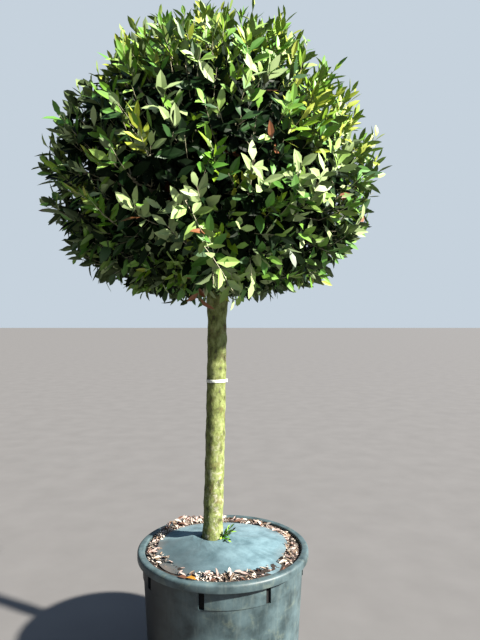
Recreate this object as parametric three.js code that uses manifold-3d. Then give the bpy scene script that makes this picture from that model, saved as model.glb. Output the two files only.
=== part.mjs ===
// A standard bay: a clipped ball of bay laurel on a clear stem, in a round nursery pot.
// Millimetres, +Z up. The origin is the middle of the pot's flat underside, and -Y is the front.
import * as THREE from "three";
import { mergeVertices } from "three/addons/utils/BufferGeometryUtils.js";
import Module from "manifold-3d";

const wasm = await Module();
wasm.setup();

// Driving dimensions
const CLEARANCE = 0.3; // between pieces that rest on each other
const FINENESS = 0.2; // points closer to a face than this are dropped from the foliage
const SEED = 20417;

const POT = {
  height: 560,
  rimRadius: 380,
  baseRadius: 326,
  bodyTopRadius: 350,
  bandRadius: 353, // the band under the rim is a little proud of the wall
  bandBottom: 450,
  wall: 5,
  floor: 7,
  rimDrop: 34,
  rimWidth: 33,
  segments: 36,
};
const GRIP = {
  count: 4,
  from: -12, // degrees from the front
  to: 32,
  slotWidth: 16,
  slotHeight: 66,
  slotDepth: 14,
  proud: 3.5,
  inset: 1.5,
};
const DRAIN = { count: 8, radius: 14, circle: 250, sides: 8 };

const SOIL = { level: 524, foot: 576, footRadius: 62, footSlope: 30 };
const MAT = {
  peak: 594,
  radius: 281,
  hole: 56,
  thickness: 4,
  slope: 0.12,
  ridge: 0.03,
  ripple: 2.5,
  slit: 3,
};
const MULCH = { inner: 286.5, outer: 344, innerLevel: 552, outerLevel: 540 };
const CHIP = { count: 20, length: [26, 46], width: [9, 17], thickness: [2.5, 4], lift: [0, 4], margin: 23.5 };

const TRUNK = {
  foot: new THREE.Vector3(-49, 0, SOIL.foot + CLEARANCE),
  head: new THREE.Vector3(-26, 0, 1792),
  bow: 4, // sideways bend at half height
  sway: 3, // and from front to back
  radius: [44.5, 42], // of the clear stem, at its foot and its head
  flare: { radius: 4, height: 55 },
  swell: { radius: 7, from: 1560, to: 1680 }, // where the boughs leave it
  crest: { radius: 15, from: 1745 },
  sides: 14,
  rows: 14,
};
const TIE = { height: 1295, width: 16, gap: 0.5, thickness: 1.8, buckle: [9, 15, 19] };

const BOUGH = {
  count: 6,
  thick: 20,
  thin: 13,
  start: 1668,
  stagger: 36, // every second bough leaves the trunk this much higher
  drift: 4, // degrees to either side
  reach: [320, 345],
  tip: [1968, 2000],
  knee: { share: 0.48, rise: 92 },
};
const LEADER = {
  count: 3,
  thick: 17,
  thin: 10.5,
  start: 1768,
  apart: 20, // from the trunk's centre line where they start
  reach: 205,
  above: 8, // of their tips over the level where the cap masses start
  knee: { out: 62, rise: 300 },
};
const LIMB = { sides: 7, rows: 5, stations: 40 };

const CROWN = {
  centre: new THREE.Vector3(-48, 0, 2226),
  radius: 748, // furthest leaf tips, sideways
  rise: 695, // and above the centre
  drop: 578, // and below it
  roundness: { above: 1.85, below: 2.6 }, // 2 is an ellipsoid, and more is squarer
  wobble: 0.018,
  capSplit: 2484, // the cap masses are above this level
  floor: 1500, // levels below and above the whole crown
  ceiling: 3000,
};
const CORE = {
  outside: 0.82, // its outer and inner faces, as shares of the crown's reach
  inside: 0.785,
  lumps: 0.055,
  root: 0.73, // the twigs start this deep
  columns: 24,
  rows: 12,
  margin: 2, // from the edge of the mass's space
};
const STEM = { sideAim: -0.25, capAim: 1.25, bend: 0.4, taper: 0.6, sides: 5, rows: 3 };
const SHOOT = { count: 108, share: [0.86, 0.9], outward: 0.6, upward: 0.2, room: 12, step: 4 };
const TWIG = { thick: 6.5, thin: 2, sides: 3, hold: 9 };
const LEAF = {
  length: 176,
  width: 68,
  widest: 0.46, // share of its length
  fold: 0.14,
  shortest: 60,
  apart: 27, // from the other leaves
  room: 6, // from the wood
  margin: 9, // from the edge of the mass's space
};
const ROSETTE = {
  leaves: 6,
  fewest: 3,
  hub: 7,
  crown: 4,
  heel: 6,
  steep: [36, 46], // degrees that a leaf leans from the shoot
  wide: [62, 77],
  drift: 0.07,
  lengths: [0.82, 1.08],
  widths: [0.85, 1.1],
};
const BASAL = {
  above: 6,
  out: new THREE.Vector3(0.86, -0.25, 0.44).normalize(),
  reach: [24, 30],
  tips: [new THREE.Vector3(0, -10, 16), new THREE.Vector3(0, 6, 30)],
  axes: [new THREE.Vector3(0.5, -0.35, 0.85).normalize(), new THREE.Vector3(0.5, 0.15, 0.85).normalize()],
  leaf: { count: 5, length: 42, width: 14 },
  twig: { thick: 3.2, thin: 1, hold: 3 },
  size: 0.45, // of the hub of its rosettes, beside those of the crown
};

// Small helpers

const radians = THREE.MathUtils.degToRad;
const smoothstep = THREE.MathUtils.smoothstep;
const lerp = THREE.MathUtils.lerp;

// A seeded source of numbers from 0 to 1, so that the plant grows the same way each time.
function seeded(seed) {
  let state = seed >>> 0;
  return () => {
    state = (state + 0x6d2b79f5) >>> 0;
    let t = state;
    t = Math.imul(t ^ (t >>> 15), t | 1);
    t ^= t + Math.imul(t ^ (t >>> 7), t | 61);
    return ((t ^ (t >>> 14)) >>> 0) / 4294967296;
  };
}

const random = seeded(SEED);
const between = (low, high) => lerp(low, high, random());

// The horizontal direction at an angle in degrees, measured from the front towards the right.
const bearing = (degrees) => new THREE.Vector3(Math.sin(radians(degrees)), -Math.cos(radians(degrees)), 0);

// A closed three.js geometry as a manifold solid.
function solidOf(geometry) {
  const bare = geometry.clone();
  bare.deleteAttribute("normal");
  bare.deleteAttribute("uv");
  const merged = mergeVertices(bare, 1e-3);
  const mesh = new wasm.Mesh({
    numProp: 3,
    vertProperties: merged.attributes.position.array,
    triVerts: new Uint32Array(merged.index.array),
  });
  return new wasm.Manifold(mesh);
}

// A manifold solid as a three.js geometry.
function geometryOf(solid) {
  const mesh = solid.getMesh();
  const positions = new Float32Array(mesh.numVert * 3);
  for (let i = 0; i < mesh.numVert; i++) {
    const start = i * mesh.numProp;
    positions.set(mesh.vertProperties.subarray(start, start + 3), i * 3);
  }
  const geometry = new THREE.BufferGeometry();
  geometry.setAttribute("position", new THREE.BufferAttribute(positions, 3));
  geometry.setIndex(new THREE.BufferAttribute(mesh.triVerts, 1));
  geometry.computeVertexNormals();
  return geometry;
}

// The largest body of a solid: this drops loose scraps and fills sealed hollows.
function largestBody(solid) {
  return solid.decompose().reduce((a, b) => (b.volume() > a.volume() ? b : a));
}

// Moves each vertex of a geometry to where the function says.
function reshape(geometry, move) {
  const position = geometry.attributes.position;
  const point = new THREE.Vector3();
  for (let i = 0; i < position.count; i++) {
    point.fromBufferAttribute(position, i);
    move(point, i);
    position.setXYZ(i, point.x, point.y, point.z);
  }
  return geometry;
}

// A solid of revolution about Z, from a profile of [radius, height] points, lowest first on the outside.
function turned(profile, segments) {
  const points = profile.map(([r, z]) => new THREE.Vector2(r, z));
  return new THREE.LatheGeometry(points, segments).rotateX(Math.PI / 2);
}

// A turned solid whose listed rows follow a height that changes round the axis.
function turnedGround(profile, rows, segments, heightAt) {
  const geometry = turned(profile, segments);
  return reshape(geometry, (point, i) => {
    if (!rows.includes(i % profile.length)) return;
    point.z = heightAt(Math.hypot(point.x, point.y), Math.atan2(point.y, point.x), point);
  });
}

// A block standing on a level between two bearings, used to cut a ring into sectors.
function sectorBlock(from, to, low, high, radius) {
  const shape = new THREE.Shape();
  shape.moveTo(0, 0);
  const arcStep = 15;
  const steps = Math.ceil((to - from) / arcStep);
  for (let i = 0; i <= steps; i++) {
    const edge = bearing(lerp(from, to, i / steps)).multiplyScalar(radius);
    shape.lineTo(edge.x, edge.y);
  }
  const geometry = new THREE.ExtrudeGeometry(shape, { depth: high - low, bevelEnabled: false });
  return solidOf(geometry.translate(0, 0, low));
}

// A box turned to face a bearing, with its middle at a radius and a height.
function boxAt(degrees, radius, height, size) {
  const geometry = new THREE.BoxGeometry(size[0], size[1], size[2]);
  geometry.rotateZ(radians(degrees));
  const place = bearing(degrees).multiplyScalar(radius);
  return solidOf(geometry.translate(place.x, place.y, height));
}

// The pot and what fills it

function potSolid() {
  const { height, rimRadius, baseRadius, bodyTopRadius, bandRadius, wall, floor, bandBottom } = POT;
  const skirt = height - POT.rimDrop;
  const rimInside = rimRadius - POT.rimWidth;
  const profile = [
    [0, 0],
    [baseRadius - 8, 0],
    [baseRadius, 7],
    [bodyTopRadius, bandBottom - 4],
    [bandRadius, bandBottom],
    [bandRadius + 1, height - 10],
    [rimRadius - 7, height - 9],
    [rimRadius - 5, skirt + 2],
    [rimRadius - 1, skirt],
    [rimRadius, skirt + 5],
    [rimRadius - 1, height - 11],
    [rimRadius - 6, height - 3],
    [rimRadius - 14, height],
    [rimInside + 7, height],
    [rimInside, height - 5],
    [rimInside - 1, height - 14],
    [bodyTopRadius - wall, bandBottom],
    [baseRadius - wall, floor],
    [0, floor],
  ];
  let pot = solidOf(turned(profile, POT.segments));
  const proud = bandRadius + GRIP.proud;
  const panelProfile = [
    [bodyTopRadius, bandBottom - 2],
    [proud - 2, bandBottom],
    [proud, bandBottom + 3],
    [proud, skirt - 3],
    [bandRadius, skirt + 3],
    [bodyTopRadius, skirt + 3],
    [bodyTopRadius, bandBottom - 2],
  ];
  const panelRing = solidOf(turned(panelProfile, POT.segments));
  const slotSize = [GRIP.slotWidth, 2 * GRIP.slotDepth, GRIP.slotHeight];
  const slotMiddle = bandBottom + 2 + GRIP.slotHeight / 2;
  for (let i = 0; i < GRIP.count; i++) {
    const from = (i * 360) / GRIP.count + GRIP.from;
    const to = (i * 360) / GRIP.count + GRIP.to;
    const sector = sectorBlock(from + GRIP.inset, to - GRIP.inset, 0, height, 2 * rimRadius);
    pot = pot.add(panelRing.intersect(sector));
    for (const end of [from, to]) pot = pot.subtract(boxAt(end, bandRadius, slotMiddle, slotSize));
  }
  for (let i = 0; i < DRAIN.count; i++) {
    const hole = new THREE.CylinderGeometry(DRAIN.radius, DRAIN.radius, 4 * floor, DRAIN.sides);
    const place = bearing(((i + 0.5) * 360) / DRAIN.count).multiplyScalar(DRAIN.circle);
    pot = pot.subtract(solidOf(hole.rotateX(Math.PI / 2).translate(place.x, place.y, 0)));
  }
  return pot;
}

// The upper face of the mat: a low tent with its ridge from side to side.
function matTop(radius, angle) {
  const across = Math.abs(radius * Math.sin(angle));
  const ripple = MAT.ripple * Math.sin(3 * angle + 0.6) * smoothstep(radius, 90, MAT.radius);
  return MAT.peak - MAT.slope * (radius - MAT.hole) - MAT.ridge * across + ripple;
}

// The rings that the mat and the soil's upper face are made of. Those near the hole move with the
// trunk, which stands left of the pot's middle.
const MAT_RINGS = [MAT.hole, 92, 125, 175, 230, MAT.radius];
const STEP = { top: MAT.radius + 2, foot: MAT.radius + 4.5 }; // where the soil drops beside the mat
const SOIL_RINGS = [SOIL.footRadius - 1, ...MAT_RINGS.slice(1, -1), STEP.top, STEP.foot];

function followTrunk(point) {
  const [nearest, , , furthest] = MAT_RINGS;
  point.x += TRUNK.foot.x * (1 - smoothstep(Math.hypot(point.x, point.y), nearest, furthest));
}

// The soil's upper face: it carries the trunk and the mat, and drops to a lower ring by the wall.
function soilTop(radius, angle) {
  const underMat = matTop(radius, angle) - MAT.thickness - CLEARANCE;
  const lift = smoothstep(radius, SOIL.footRadius, SOIL.footRadius + SOIL.footSlope);
  const fall = smoothstep(radius, STEP.top, STEP.foot);
  return lerp(lerp(SOIL.foot, underMat, lift), SOIL.level, fall);
}

function soilSolid() {
  const { baseRadius, bodyTopRadius, wall, floor, bandBottom } = POT;
  const wallShare = (z) => (z - floor) / (bandBottom - floor);
  const radiusAt = (z) => lerp(baseRadius, bodyTopRadius, Math.min(1, wallShare(z))) - wall - CLEARANCE;
  const bottom = floor + CLEARANCE;
  const side = [bottom, bandBottom, SOIL.level].map((z) => [radiusAt(z), z]);
  const rings = [...SOIL_RINGS].reverse().map((r) => [r, 0]);
  const profile = [[0, bottom], ...side, ...rings, [0, SOIL.foot]];
  const rows = rings.map((_, i) => side.length + 1 + i);
  const geometry = turnedGround(profile, rows, POT.segments, soilTop);
  const upper = bandBottom + 1;
  return solidOf(reshape(geometry, (point) => point.z > upper && followTrunk(point)));
}

// A level disc of mat with the trunk's hole and a slit from it to the edge, laid over the soil.
function matSolid() {
  const under = MAT_RINGS.map((r) => [r, 0]);
  const over = [...MAT_RINGS].reverse().map((r) => [r, 1]);
  const profile = [...under, ...over, under[0]];
  const every = profile.map((_, i) => i);
  const geometry = turnedGround(profile, every, POT.segments, (r, a, point) => {
    return matTop(r, a) - (point.z > 0.5 ? 0 : MAT.thickness);
  });
  reshape(geometry, followTrunk);
  const slit = new THREE.BoxGeometry(MAT.radius, MAT.slit, MAT.radius);
  slit.translate(TRUNK.foot.x - MAT.radius / 2, 0, MAT.peak);
  return solidOf(geometry).subtract(solidOf(slit));
}

// The ring of bark and leaf litter between the mat and the pot's wall.
function mulchSolid() {
  const { inner, outer, innerLevel, outerLevel } = MULCH;
  const radii = [0, 0.25, 0.5, 0.8, 1].map((share) => lerp(inner, outer, share));
  const bottoms = radii.map((r) => [r, 0]);
  const tops = [...radii].reverse().map((r) => [r, 1]);
  const profile = [...bottoms, ...tops, bottoms[0]];
  const every = profile.map((_, i) => i);
  const topAt = (r, a) => {
    const level = lerp(innerLevel, outerLevel, (r - inner) / (outer - inner));
    return level + 2.4 * Math.sin(7 * a + r / 9) + 2 * Math.sin(11 * a - r / 13);
  };
  const geometry = turnedGround(profile, every, POT.segments, (r, a, point) => {
    return point.z < 0.5 ? SOIL.level + CLEARANCE : topAt(r, a);
  });
  let ring = solidOf(geometry);
  const { length, width, thickness, lift, margin } = CHIP;
  for (let i = 0; i < CHIP.count; i++) {
    const chip = new THREE.BoxGeometry(between(...length), between(...width), between(...thickness));
    chip.rotateX(between(-0.5, 0.5)).rotateY(between(-0.45, 0.45)).rotateZ(between(0, Math.PI));
    const degrees = ((i + between(0.2, 0.8)) * 360) / CHIP.count;
    const place = bearing(degrees).multiplyScalar(between(inner + margin, outer - margin));
    const height = topAt(place.length(), Math.atan2(place.y, place.x)) + between(...lift);
    ring = ring.add(solidOf(chip.translate(place.x, place.y, height)));
  }
  return largestBody(ring);
}

// The trunk and its boughs

// The trunk's centre line at a height.
function trunkAxis(z) {
  const { foot, head, bow, sway } = TRUNK;
  const share = (z - foot.z) / (head.z - foot.z);
  const side = lerp(foot.x, head.x, share) + bow * Math.sin(Math.PI * share);
  return new THREE.Vector3(side, sway * Math.sin(2 * Math.PI * share), z);
}

// The trunk's radius at a height: a small root flare, a long even stem, and a swelling at the fork.
function trunkRadius(z) {
  const { foot, head, radius } = TRUNK;
  const flare = TRUNK.flare.radius * (1 - smoothstep(z, foot.z, foot.z + TRUNK.flare.height));
  const stem = lerp(...radius, (z - foot.z) / (head.z - foot.z));
  const swell = TRUNK.swell.radius * smoothstep(z, TRUNK.swell.from, TRUNK.swell.to);
  const crest = TRUNK.crest.radius * smoothstep(z, TRUNK.crest.from, head.z);
  return stem + flare + swell - crest;
}

// A limb along a curve, with its own radius at each share of its length, from a cylinder's vertices.
// A level limb keeps its rings level, so that its foot is a flat cut.
function limbSolid(pointAt, radiusAt, { sides, rows, level = false }) {
  const geometry = new THREE.CylinderGeometry(1, 1, 1, sides, rows).rotateX(Math.PI / 2);
  const frameAt = (share) => {
    const side = new THREE.Vector3(1, 0, 0);
    if (level) return { side, up: new THREE.Vector3(0, 1, 0) };
    const step = 0.001;
    const ahead = pointAt(Math.min(1, share + step));
    const along = ahead.sub(pointAt(Math.max(0, share - step))).normalize();
    if (Math.abs(along.x) > 0.9) side.set(0, 1, 0);
    side.addScaledVector(along, -side.dot(along)).normalize();
    return { side, up: new THREE.Vector3().crossVectors(along, side) };
  };
  reshape(geometry, (point) => {
    const share = point.z + 0.5;
    const { side, up } = frameAt(share);
    const radius = radiusAt(share);
    const place = pointAt(share).addScaledVector(side, point.x * radius);
    point.copy(place.addScaledVector(up, point.y * radius));
  });
  return solidOf(geometry);
}

// The trunk, made thicker by a margin so that it can cut what meets it.
function trunkSolid(margin = 0) {
  const { foot, head, sides, rows } = TRUNK;
  const heightAt = (share) => lerp(foot.z, head.z + margin, share);
  const burr = (z) => 0.9 * Math.sin(z / 23) + 0.7 * Math.sin(z / 9.7);
  return limbSolid(
    (share) => trunkAxis(heightAt(share)),
    (share) => trunkRadius(heightAt(share)) + burr(heightAt(share)) + margin,
    { sides, rows, level: true },
  );
}

// The white tie round the stem: a thin strap with a small buckle.
function tieSolid() {
  const { height, width, gap, thickness } = TIE;
  const outside = trunkSolid(gap + thickness);
  const strap = outside
    .trimByPlane([0, 0, 1], height - width / 2)
    .trimByPlane([0, 0, -1], -height - width / 2);
  const axis = trunkAxis(height);
  const radius = trunkRadius(height);
  const buckle = new THREE.BoxGeometry(...TIE.buckle);
  buckle.translate(axis.x + radius + 3, axis.y + 8, height);
  return largestBody(strap.add(solidOf(buckle)).subtract(trunkSolid(gap)));
}

// Each limb is a curve from inside the trunk to the mass of foliage that it carries.
function limbSpec(size, start, knee, tip) {
  const curve = new THREE.QuadraticBezierCurve3(start, knee, tip);
  return { curve, tip, thin: size.thin, radiusAt: (share) => lerp(size.thick, size.thin, share) };
}

function boughSpecs() {
  return Array.from({ length: BOUGH.count }, (_, i) => {
    const out = bearing((360 / BOUGH.count) * (i + 0.5) + between(-BOUGH.drift, BOUGH.drift));
    const start = trunkAxis(BOUGH.start + BOUGH.stagger * (i % 2));
    const reach = between(...BOUGH.reach);
    const tip = CROWN.centre.clone().addScaledVector(out, reach).setZ(between(...BOUGH.tip));
    const knee = start.clone().addScaledVector(out, reach * BOUGH.knee.share);
    knee.z += BOUGH.knee.rise;
    return limbSpec(BOUGH, start, knee, tip);
  });
}

function leaderSpecs() {
  return Array.from({ length: LEADER.count }, (_, i) => {
    const out = bearing((360 / LEADER.count) * (i + 0.5));
    const start = trunkAxis(LEADER.start).addScaledVector(out, LEADER.apart);
    const tip = CROWN.centre.clone().addScaledVector(out, LEADER.reach);
    tip.z = CROWN.capSplit + LEADER.above;
    const knee = start.clone().addScaledVector(out, LEADER.knee.out);
    knee.z += LEADER.knee.rise;
    return limbSpec(LEADER, start, knee, tip);
  });
}

function boughSolid(limb) {
  const whole = limbSolid((share) => limb.curve.getPoint(share), limb.radiusAt, LIMB);
  return largestBody(whole.subtract(trunkSolid(CLEARANCE)));
}

// The crown

// How far the crown's outline reaches from its centre in a direction.
function crownReach(direction) {
  const { radius, rise, drop, roundness, wobble } = CROWN;
  const above = direction.z > 0;
  const level = Math.hypot(direction.x, direction.y);
  const upright = Math.abs(direction.z) / (above ? rise : drop);
  const power = above ? roundness.above : roundness.below;
  const angle = Math.atan2(direction.y, direction.x);
  const lobes = 1 + wobble * level * Math.sin(3 * angle + 1) * Math.cos(2 * direction.z);
  return lobes / Math.pow(Math.pow(level / radius, power) + Math.pow(upright, power), 1 / power);
}

// Where a point lies between the crown's centre, 0, and its outline, 1.
function shareOfReach(point) {
  const from = point.clone().sub(CROWN.centre);
  const distance = from.length();
  return distance / crownReach(from.normalize());
}

// The crown's outline drawn in to a share of its reach, as a closed solid. Its points stand out and in
// by turns, so that it is as rough as the tufts of leaves inside the crown.
function crownShell(share) {
  const geometry = new THREE.SphereGeometry(1, CORE.columns, CORE.rows).rotateX(Math.PI / 2);
  reshape(geometry, (point, i) => {
    const direction = point.clone().normalize();
    const row = Math.floor(i / (CORE.columns + 1));
    const column = (i % (CORE.columns + 1)) % CORE.columns;
    const pole = row === 0 || row === CORE.rows;
    const size = 0.7 + 0.3 * Math.sin(7.3 * row + 3.1 * column);
    const lump = pole ? 0 : CORE.lumps * size * ((row + column) % 2 ? 1 : -1);
    point.copy(direction.multiplyScalar(share * (1 + lump) * crownReach(direction))).add(CROWN.centre);
  });
  return solidOf(geometry);
}

// The bare middle of the crown's underside, where the boughs run up from the fork.
function crownVase() {
  const profile = [
    [0, CROWN.floor],
    [150, CROWN.floor],
    [150, 1700],
    [228, 1800],
    [262, 1860],
    [0, 1860],
  ];
  return solidOf(turned(profile, 16).translate(CROWN.centre.x, CROWN.centre.y, 0));
}

// The masses of foliage that a ring of limbs carries: each has its own sector of the crown.
function massSpecs(limbs, cap) {
  const width = 360 / limbs.length;
  return limbs.map((limb, i) => ({ limb, cap, from: width * i, to: width * (i + 1) }));
}

// Whether a point lies in a mass's space.
function inSpace(mass, point) {
  const local = point.clone().sub(CROWN.centre);
  const rise = point.z - CROWN.capSplit;
  if (mass.cap ? rise < LEAF.margin : rise > -LEAF.margin) return false;
  const left = bearing(mass.from + 90);
  const right = bearing(mass.to - 90);
  return local.dot(left) > LEAF.margin && local.dot(right) > LEAF.margin;
}

// The wood that foliage has to keep clear of, as points along each limb with a radius.
function woodStations(limbs) {
  const shares = Array.from({ length: LIMB.stations + 1 }, (_, i) => i / LIMB.stations);
  const heights = shares.map((share) => lerp(TRUNK.swell.from, TRUNK.head.z, share));
  const trunk = heights.map((z) => ({ at: trunkAxis(z), radius: trunkRadius(z) }));
  const along = (limb) => shares.map((s) => ({ at: limb.curve.getPoint(s), radius: limb.radiusAt(s) }));
  return [...trunk, ...limbs.flatMap(along)];
}

function clearOfWood(points, stations, room) {
  return points.every((p) => stations.every((s) => p.distanceTo(s.at) > s.radius + room));
}

// A sector of the crown's shell, less the bare inside: the dense part that the leaves stand out of.
function coreSolid(mass, shell, vase) {
  const low = mass.cap ? CROWN.capSplit + CORE.margin : CROWN.floor;
  const high = mass.cap ? CROWN.ceiling : CROWN.capSplit - CORE.margin;
  const push = CORE.margin / Math.sin(radians((mass.to - mass.from) / 2));
  const apex = bearing((mass.from + mass.to) / 2).multiplyScalar(push).add(CROWN.centre);
  const sector = sectorBlock(mass.from, mass.to, low, high, 2 * CROWN.radius);
  return largestBody(shell.intersect(sector.translate([apex.x, apex.y, 0])).subtract(vase));
}

// A three-sided twig between two points.
function twigSolid(from, to, thick, thin) {
  const along = to.clone().sub(from);
  const length = along.length();
  const twig = new THREE.CylinderGeometry(thin, thick, length, TWIG.sides).translate(0, length / 2, 0);
  const turn = new THREE.Quaternion().setFromUnitVectors(new THREE.Vector3(0, 1, 0), along.normalize());
  return solidOf(twig.applyQuaternion(turn).translate(from.x, from.y, from.z));
}

// Spreads the tips of the shoots evenly over the crown by the golden angle.
function shootTips() {
  const golden = Math.PI * (3 - Math.sqrt(5));
  const tips = [];
  for (let i = 0; i < SHOOT.count; i++) {
    const height = 1 - (2 * (i + 0.5)) / SHOOT.count;
    const radius = Math.sqrt(1 - height * height);
    const angle = i * golden;
    tips.push(new THREE.Vector3(Math.cos(angle) * radius, Math.sin(angle) * radius, height));
  }
  return tips;
}

// The frame round an axis: two directions square to it and to each other.
function frameOf(axis) {
  const side = new THREE.Vector3(0, 0, 1).cross(axis);
  if (side.length() < 0.2) side.set(1, 0, 0).addScaledVector(axis, -axis.x);
  side.normalize();
  return { side, other: new THREE.Vector3().crossVectors(axis, side) };
}

// The direction square to an axis at an angle round it.
function outAt(axis, angle) {
  const { side, other } = frameOf(axis);
  return side.multiplyScalar(Math.cos(angle)).addScaledVector(other, Math.sin(angle));
}

// The leaves of a rosette, in order round its axis: every second one stands steeper. None is wider
// than its own share of the round, so that neighbours don't meet.
function rosetteLeaves(centre, axis, { count, length, width, within }) {
  const spacing = radians(360 / count);
  const turn = between(0, 2 * Math.PI);
  const sector = Math.tan(spacing * (0.5 - ROSETTE.drift));
  return Array.from({ length: count }, (_, i) => {
    const angle = turn + (i + between(-ROSETTE.drift, ROSETTE.drift)) * spacing;
    const lean = radians(between(...(i % 2 ? ROSETTE.steep : ROSETTE.wide)));
    const along = axis.clone().multiplyScalar(Math.cos(lean));
    along.addScaledVector(outAt(axis, angle), Math.sin(lean));
    const reach = within(centre, along, length * between(...ROSETTE.lengths));
    const room = 1.8 * sector * reach * LEAF.widest * Math.sin(lean);
    const left = new THREE.Vector3().crossVectors(axis, along).normalize();
    const above = new THREE.Vector3().crossVectors(along, left);
    return { angle, along, left, above, reach, wide: Math.min(room, width * between(...ROSETTE.widths)) };
  });
}

// The points of a leaf that starts at a centre: its tip and the two sides where it is widest.
function leafPoints(centre, leaf) {
  const rib = centre.clone().addScaledVector(leaf.along, leaf.reach * LEAF.widest);
  rib.addScaledVector(leaf.above, leaf.wide * LEAF.fold);
  return {
    right: rib.clone().addScaledVector(leaf.left, -leaf.wide / 2),
    tip: centre.clone().addScaledVector(leaf.along, leaf.reach),
    left: rib.clone().addScaledVector(leaf.left, leaf.wide / 2),
  };
}

// A rosette in one piece: a sphere of two rows, with its waist drawn out into the folded leaves.
function rosetteSolid(centre, axis, leaves, size = 1) {
  const corners = 4; // the right side, the tip, the left side, and the notch before the next leaf
  const columns = corners * leaves.length;
  const round = 2 * Math.PI;
  const waist = leaves.flatMap((leaf, i) => {
    const { right, tip, left } = leafPoints(centre, leaf);
    const next = leaves[(i + 1) % leaves.length].angle;
    const gap = (next - leaf.angle + round) % round;
    const notch = centre.clone().addScaledVector(outAt(axis, leaf.angle + gap / 2), ROSETTE.hub * size);
    return [right, tip, left, notch];
  });
  const top = centre.clone().addScaledVector(axis, ROSETTE.crown * size);
  const heel = centre.clone().addScaledVector(axis, -ROSETTE.heel * size);
  const geometry = new THREE.SphereGeometry(1, columns, 2);
  reshape(geometry, (point, i) => {
    const row = Math.floor(i / (columns + 1));
    const column = (i % (columns + 1)) % columns;
    point.copy([top, waist[column], heel][row]);
  });
  return solidOf(geometry);
}

// The length a leaf can have before its tip passes the crown's outline.
function lengthWithin(root, direction, length) {
  const passes = (allowed) => shareOfReach(root.clone().addScaledVector(direction, allowed)) > 1;
  let allowed = length;
  while (allowed >= LEAF.shortest && passes(allowed)) allowed -= SHOOT.step;
  return allowed;
}

const grown = []; // points along the leaves that have grown

// Whether a leaf has a place of its own: inside the mass's space, and clear of wood and other leaves.
function leafFits(mass, centre, leaf, wood) {
  if (leaf.reach < LEAF.shortest) return false;
  const { right, tip, left } = leafPoints(centre, leaf);
  if (![right, tip, left].every((p) => inSpace(mass, p))) return false;
  if (!clearOfWood([right, tip, left], wood, LEAF.room)) return false;
  const rib = [0.5, 0.75, 1].map((share) => centre.clone().addScaledVector(leaf.along, leaf.reach * share));
  if (rib.some((p) => shareOfReach(p) < CORE.outside + CORE.lumps)) return false;
  if (rib.some((p) => grown.some((g) => g.distanceTo(p) < LEAF.apart))) return false;
  grown.push(...rib);
  return true;
}

// One shoot: a twig from the core outwards, with a rosette of leaves at its end.
function shootSolids(mass, direction, wood) {
  const reach = crownReach(direction) * between(...SHOOT.share);
  const centre = CROWN.centre.clone().addScaledVector(direction, reach);
  const away = centre.clone().sub(mass.limb.tip).normalize();
  const axis = away.lerp(direction, SHOOT.outward);
  axis.z += SHOOT.upward;
  axis.normalize();
  const root = centre.clone();
  while (shareOfReach(root) > CORE.root) root.addScaledVector(axis, -SHOOT.step);
  if (!inSpace(mass, centre) || !inSpace(mass, root)) return [];
  if (!clearOfWood([centre, root], wood, SHOOT.room)) return [];
  const plan = { count: ROSETTE.leaves, length: LEAF.length, width: LEAF.width, within: lengthWithin };
  const leaves = rosetteLeaves(centre, axis, plan).filter((leaf) => leafFits(mass, centre, leaf, wood));
  if (leaves.length < ROSETTE.fewest) return [];
  const hold = centre.clone().addScaledVector(leaves[0].along, TWIG.hold);
  return [twigSolid(root, hold, TWIG.thick, TWIG.thin), rosetteSolid(centre, axis, leaves)];
}

// A mass: a stem from the limb's tip, the core, and every shoot that falls in the mass's space.
function massSolid(mass, tips, shell, vase, wood) {
  const core = coreSolid(mass, shell, vase);
  const { limb } = mass;
  const along = limb.curve.getTangent(1);
  const start = limb.tip.clone().addScaledVector(along, CLEARANCE);
  const middle = bearing((mass.from + mass.to) / 2);
  const aim = middle.clone().setZ(mass.cap ? STEM.capAim : STEM.sideAim).normalize();
  const depth = CORE.outside * (1 + CORE.lumps);
  const target = CROWN.centre.clone().addScaledVector(aim, depth * crownReach(aim));
  const bend = start.clone().addScaledVector(along, start.distanceTo(target) * STEM.bend);
  const path = new THREE.QuadraticBezierCurve3(start, bend, target);
  const thickness = (share) => limb.thin * lerp(1, STEM.taper, share);
  const stem = limbSolid((share) => path.getPoint(share), thickness, STEM);
  const pieces = tips.flatMap((tip) => shootSolids(mass, tip, wood));
  return largestBody(wasm.Manifold.union([core, stem, ...pieces])).simplify(FINENESS);
}

// The small green shoot at the trunk's foot, on its right.
function basalShootSolid() {
  const { out, twig } = BASAL;
  const height = MAT.peak + BASAL.above;
  const start = trunkAxis(height).addScaledVector(out, trunkRadius(height) * 0.9);
  const pieces = BASAL.tips.flatMap((tip, i) => {
    const centre = start.clone().addScaledVector(out, BASAL.reach[i]).add(tip);
    const plan = { ...BASAL.leaf, within: (_, along, length) => length };
    const leaves = rosetteLeaves(centre, BASAL.axes[i], plan);
    const hold = centre.clone().addScaledVector(leaves[0].along, twig.hold);
    const rosette = rosetteSolid(centre, BASAL.axes[i], leaves, BASAL.size);
    return [twigSolid(start, hold, twig.thick, twig.thin), rosette];
  });
  return largestBody(wasm.Manifold.union(pieces).subtract(trunkSolid(CLEARANCE)));
}

// Colours and the finished group

const finish = (color, roughness) => new THREE.MeshStandardMaterial({ color, roughness, metalness: 0 });
const FINISHES = {
  pot: finish("#3c4747", 0.55),
  mat: finish("#5d7f84", 0.8),
  mulch: finish("#9a7a5c", 0.95),
  soil: finish("#3a2c22", 1),
  bark: finish("#7f8450", 0.85),
  boughBark: finish("#5f5a3c", 0.85),
  tie: finish("#e6efe8", 0.5),
  leaves: finish("#35502a", 0.45),
  youngLeaves: finish("#6f9a2e", 0.45),
};

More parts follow.
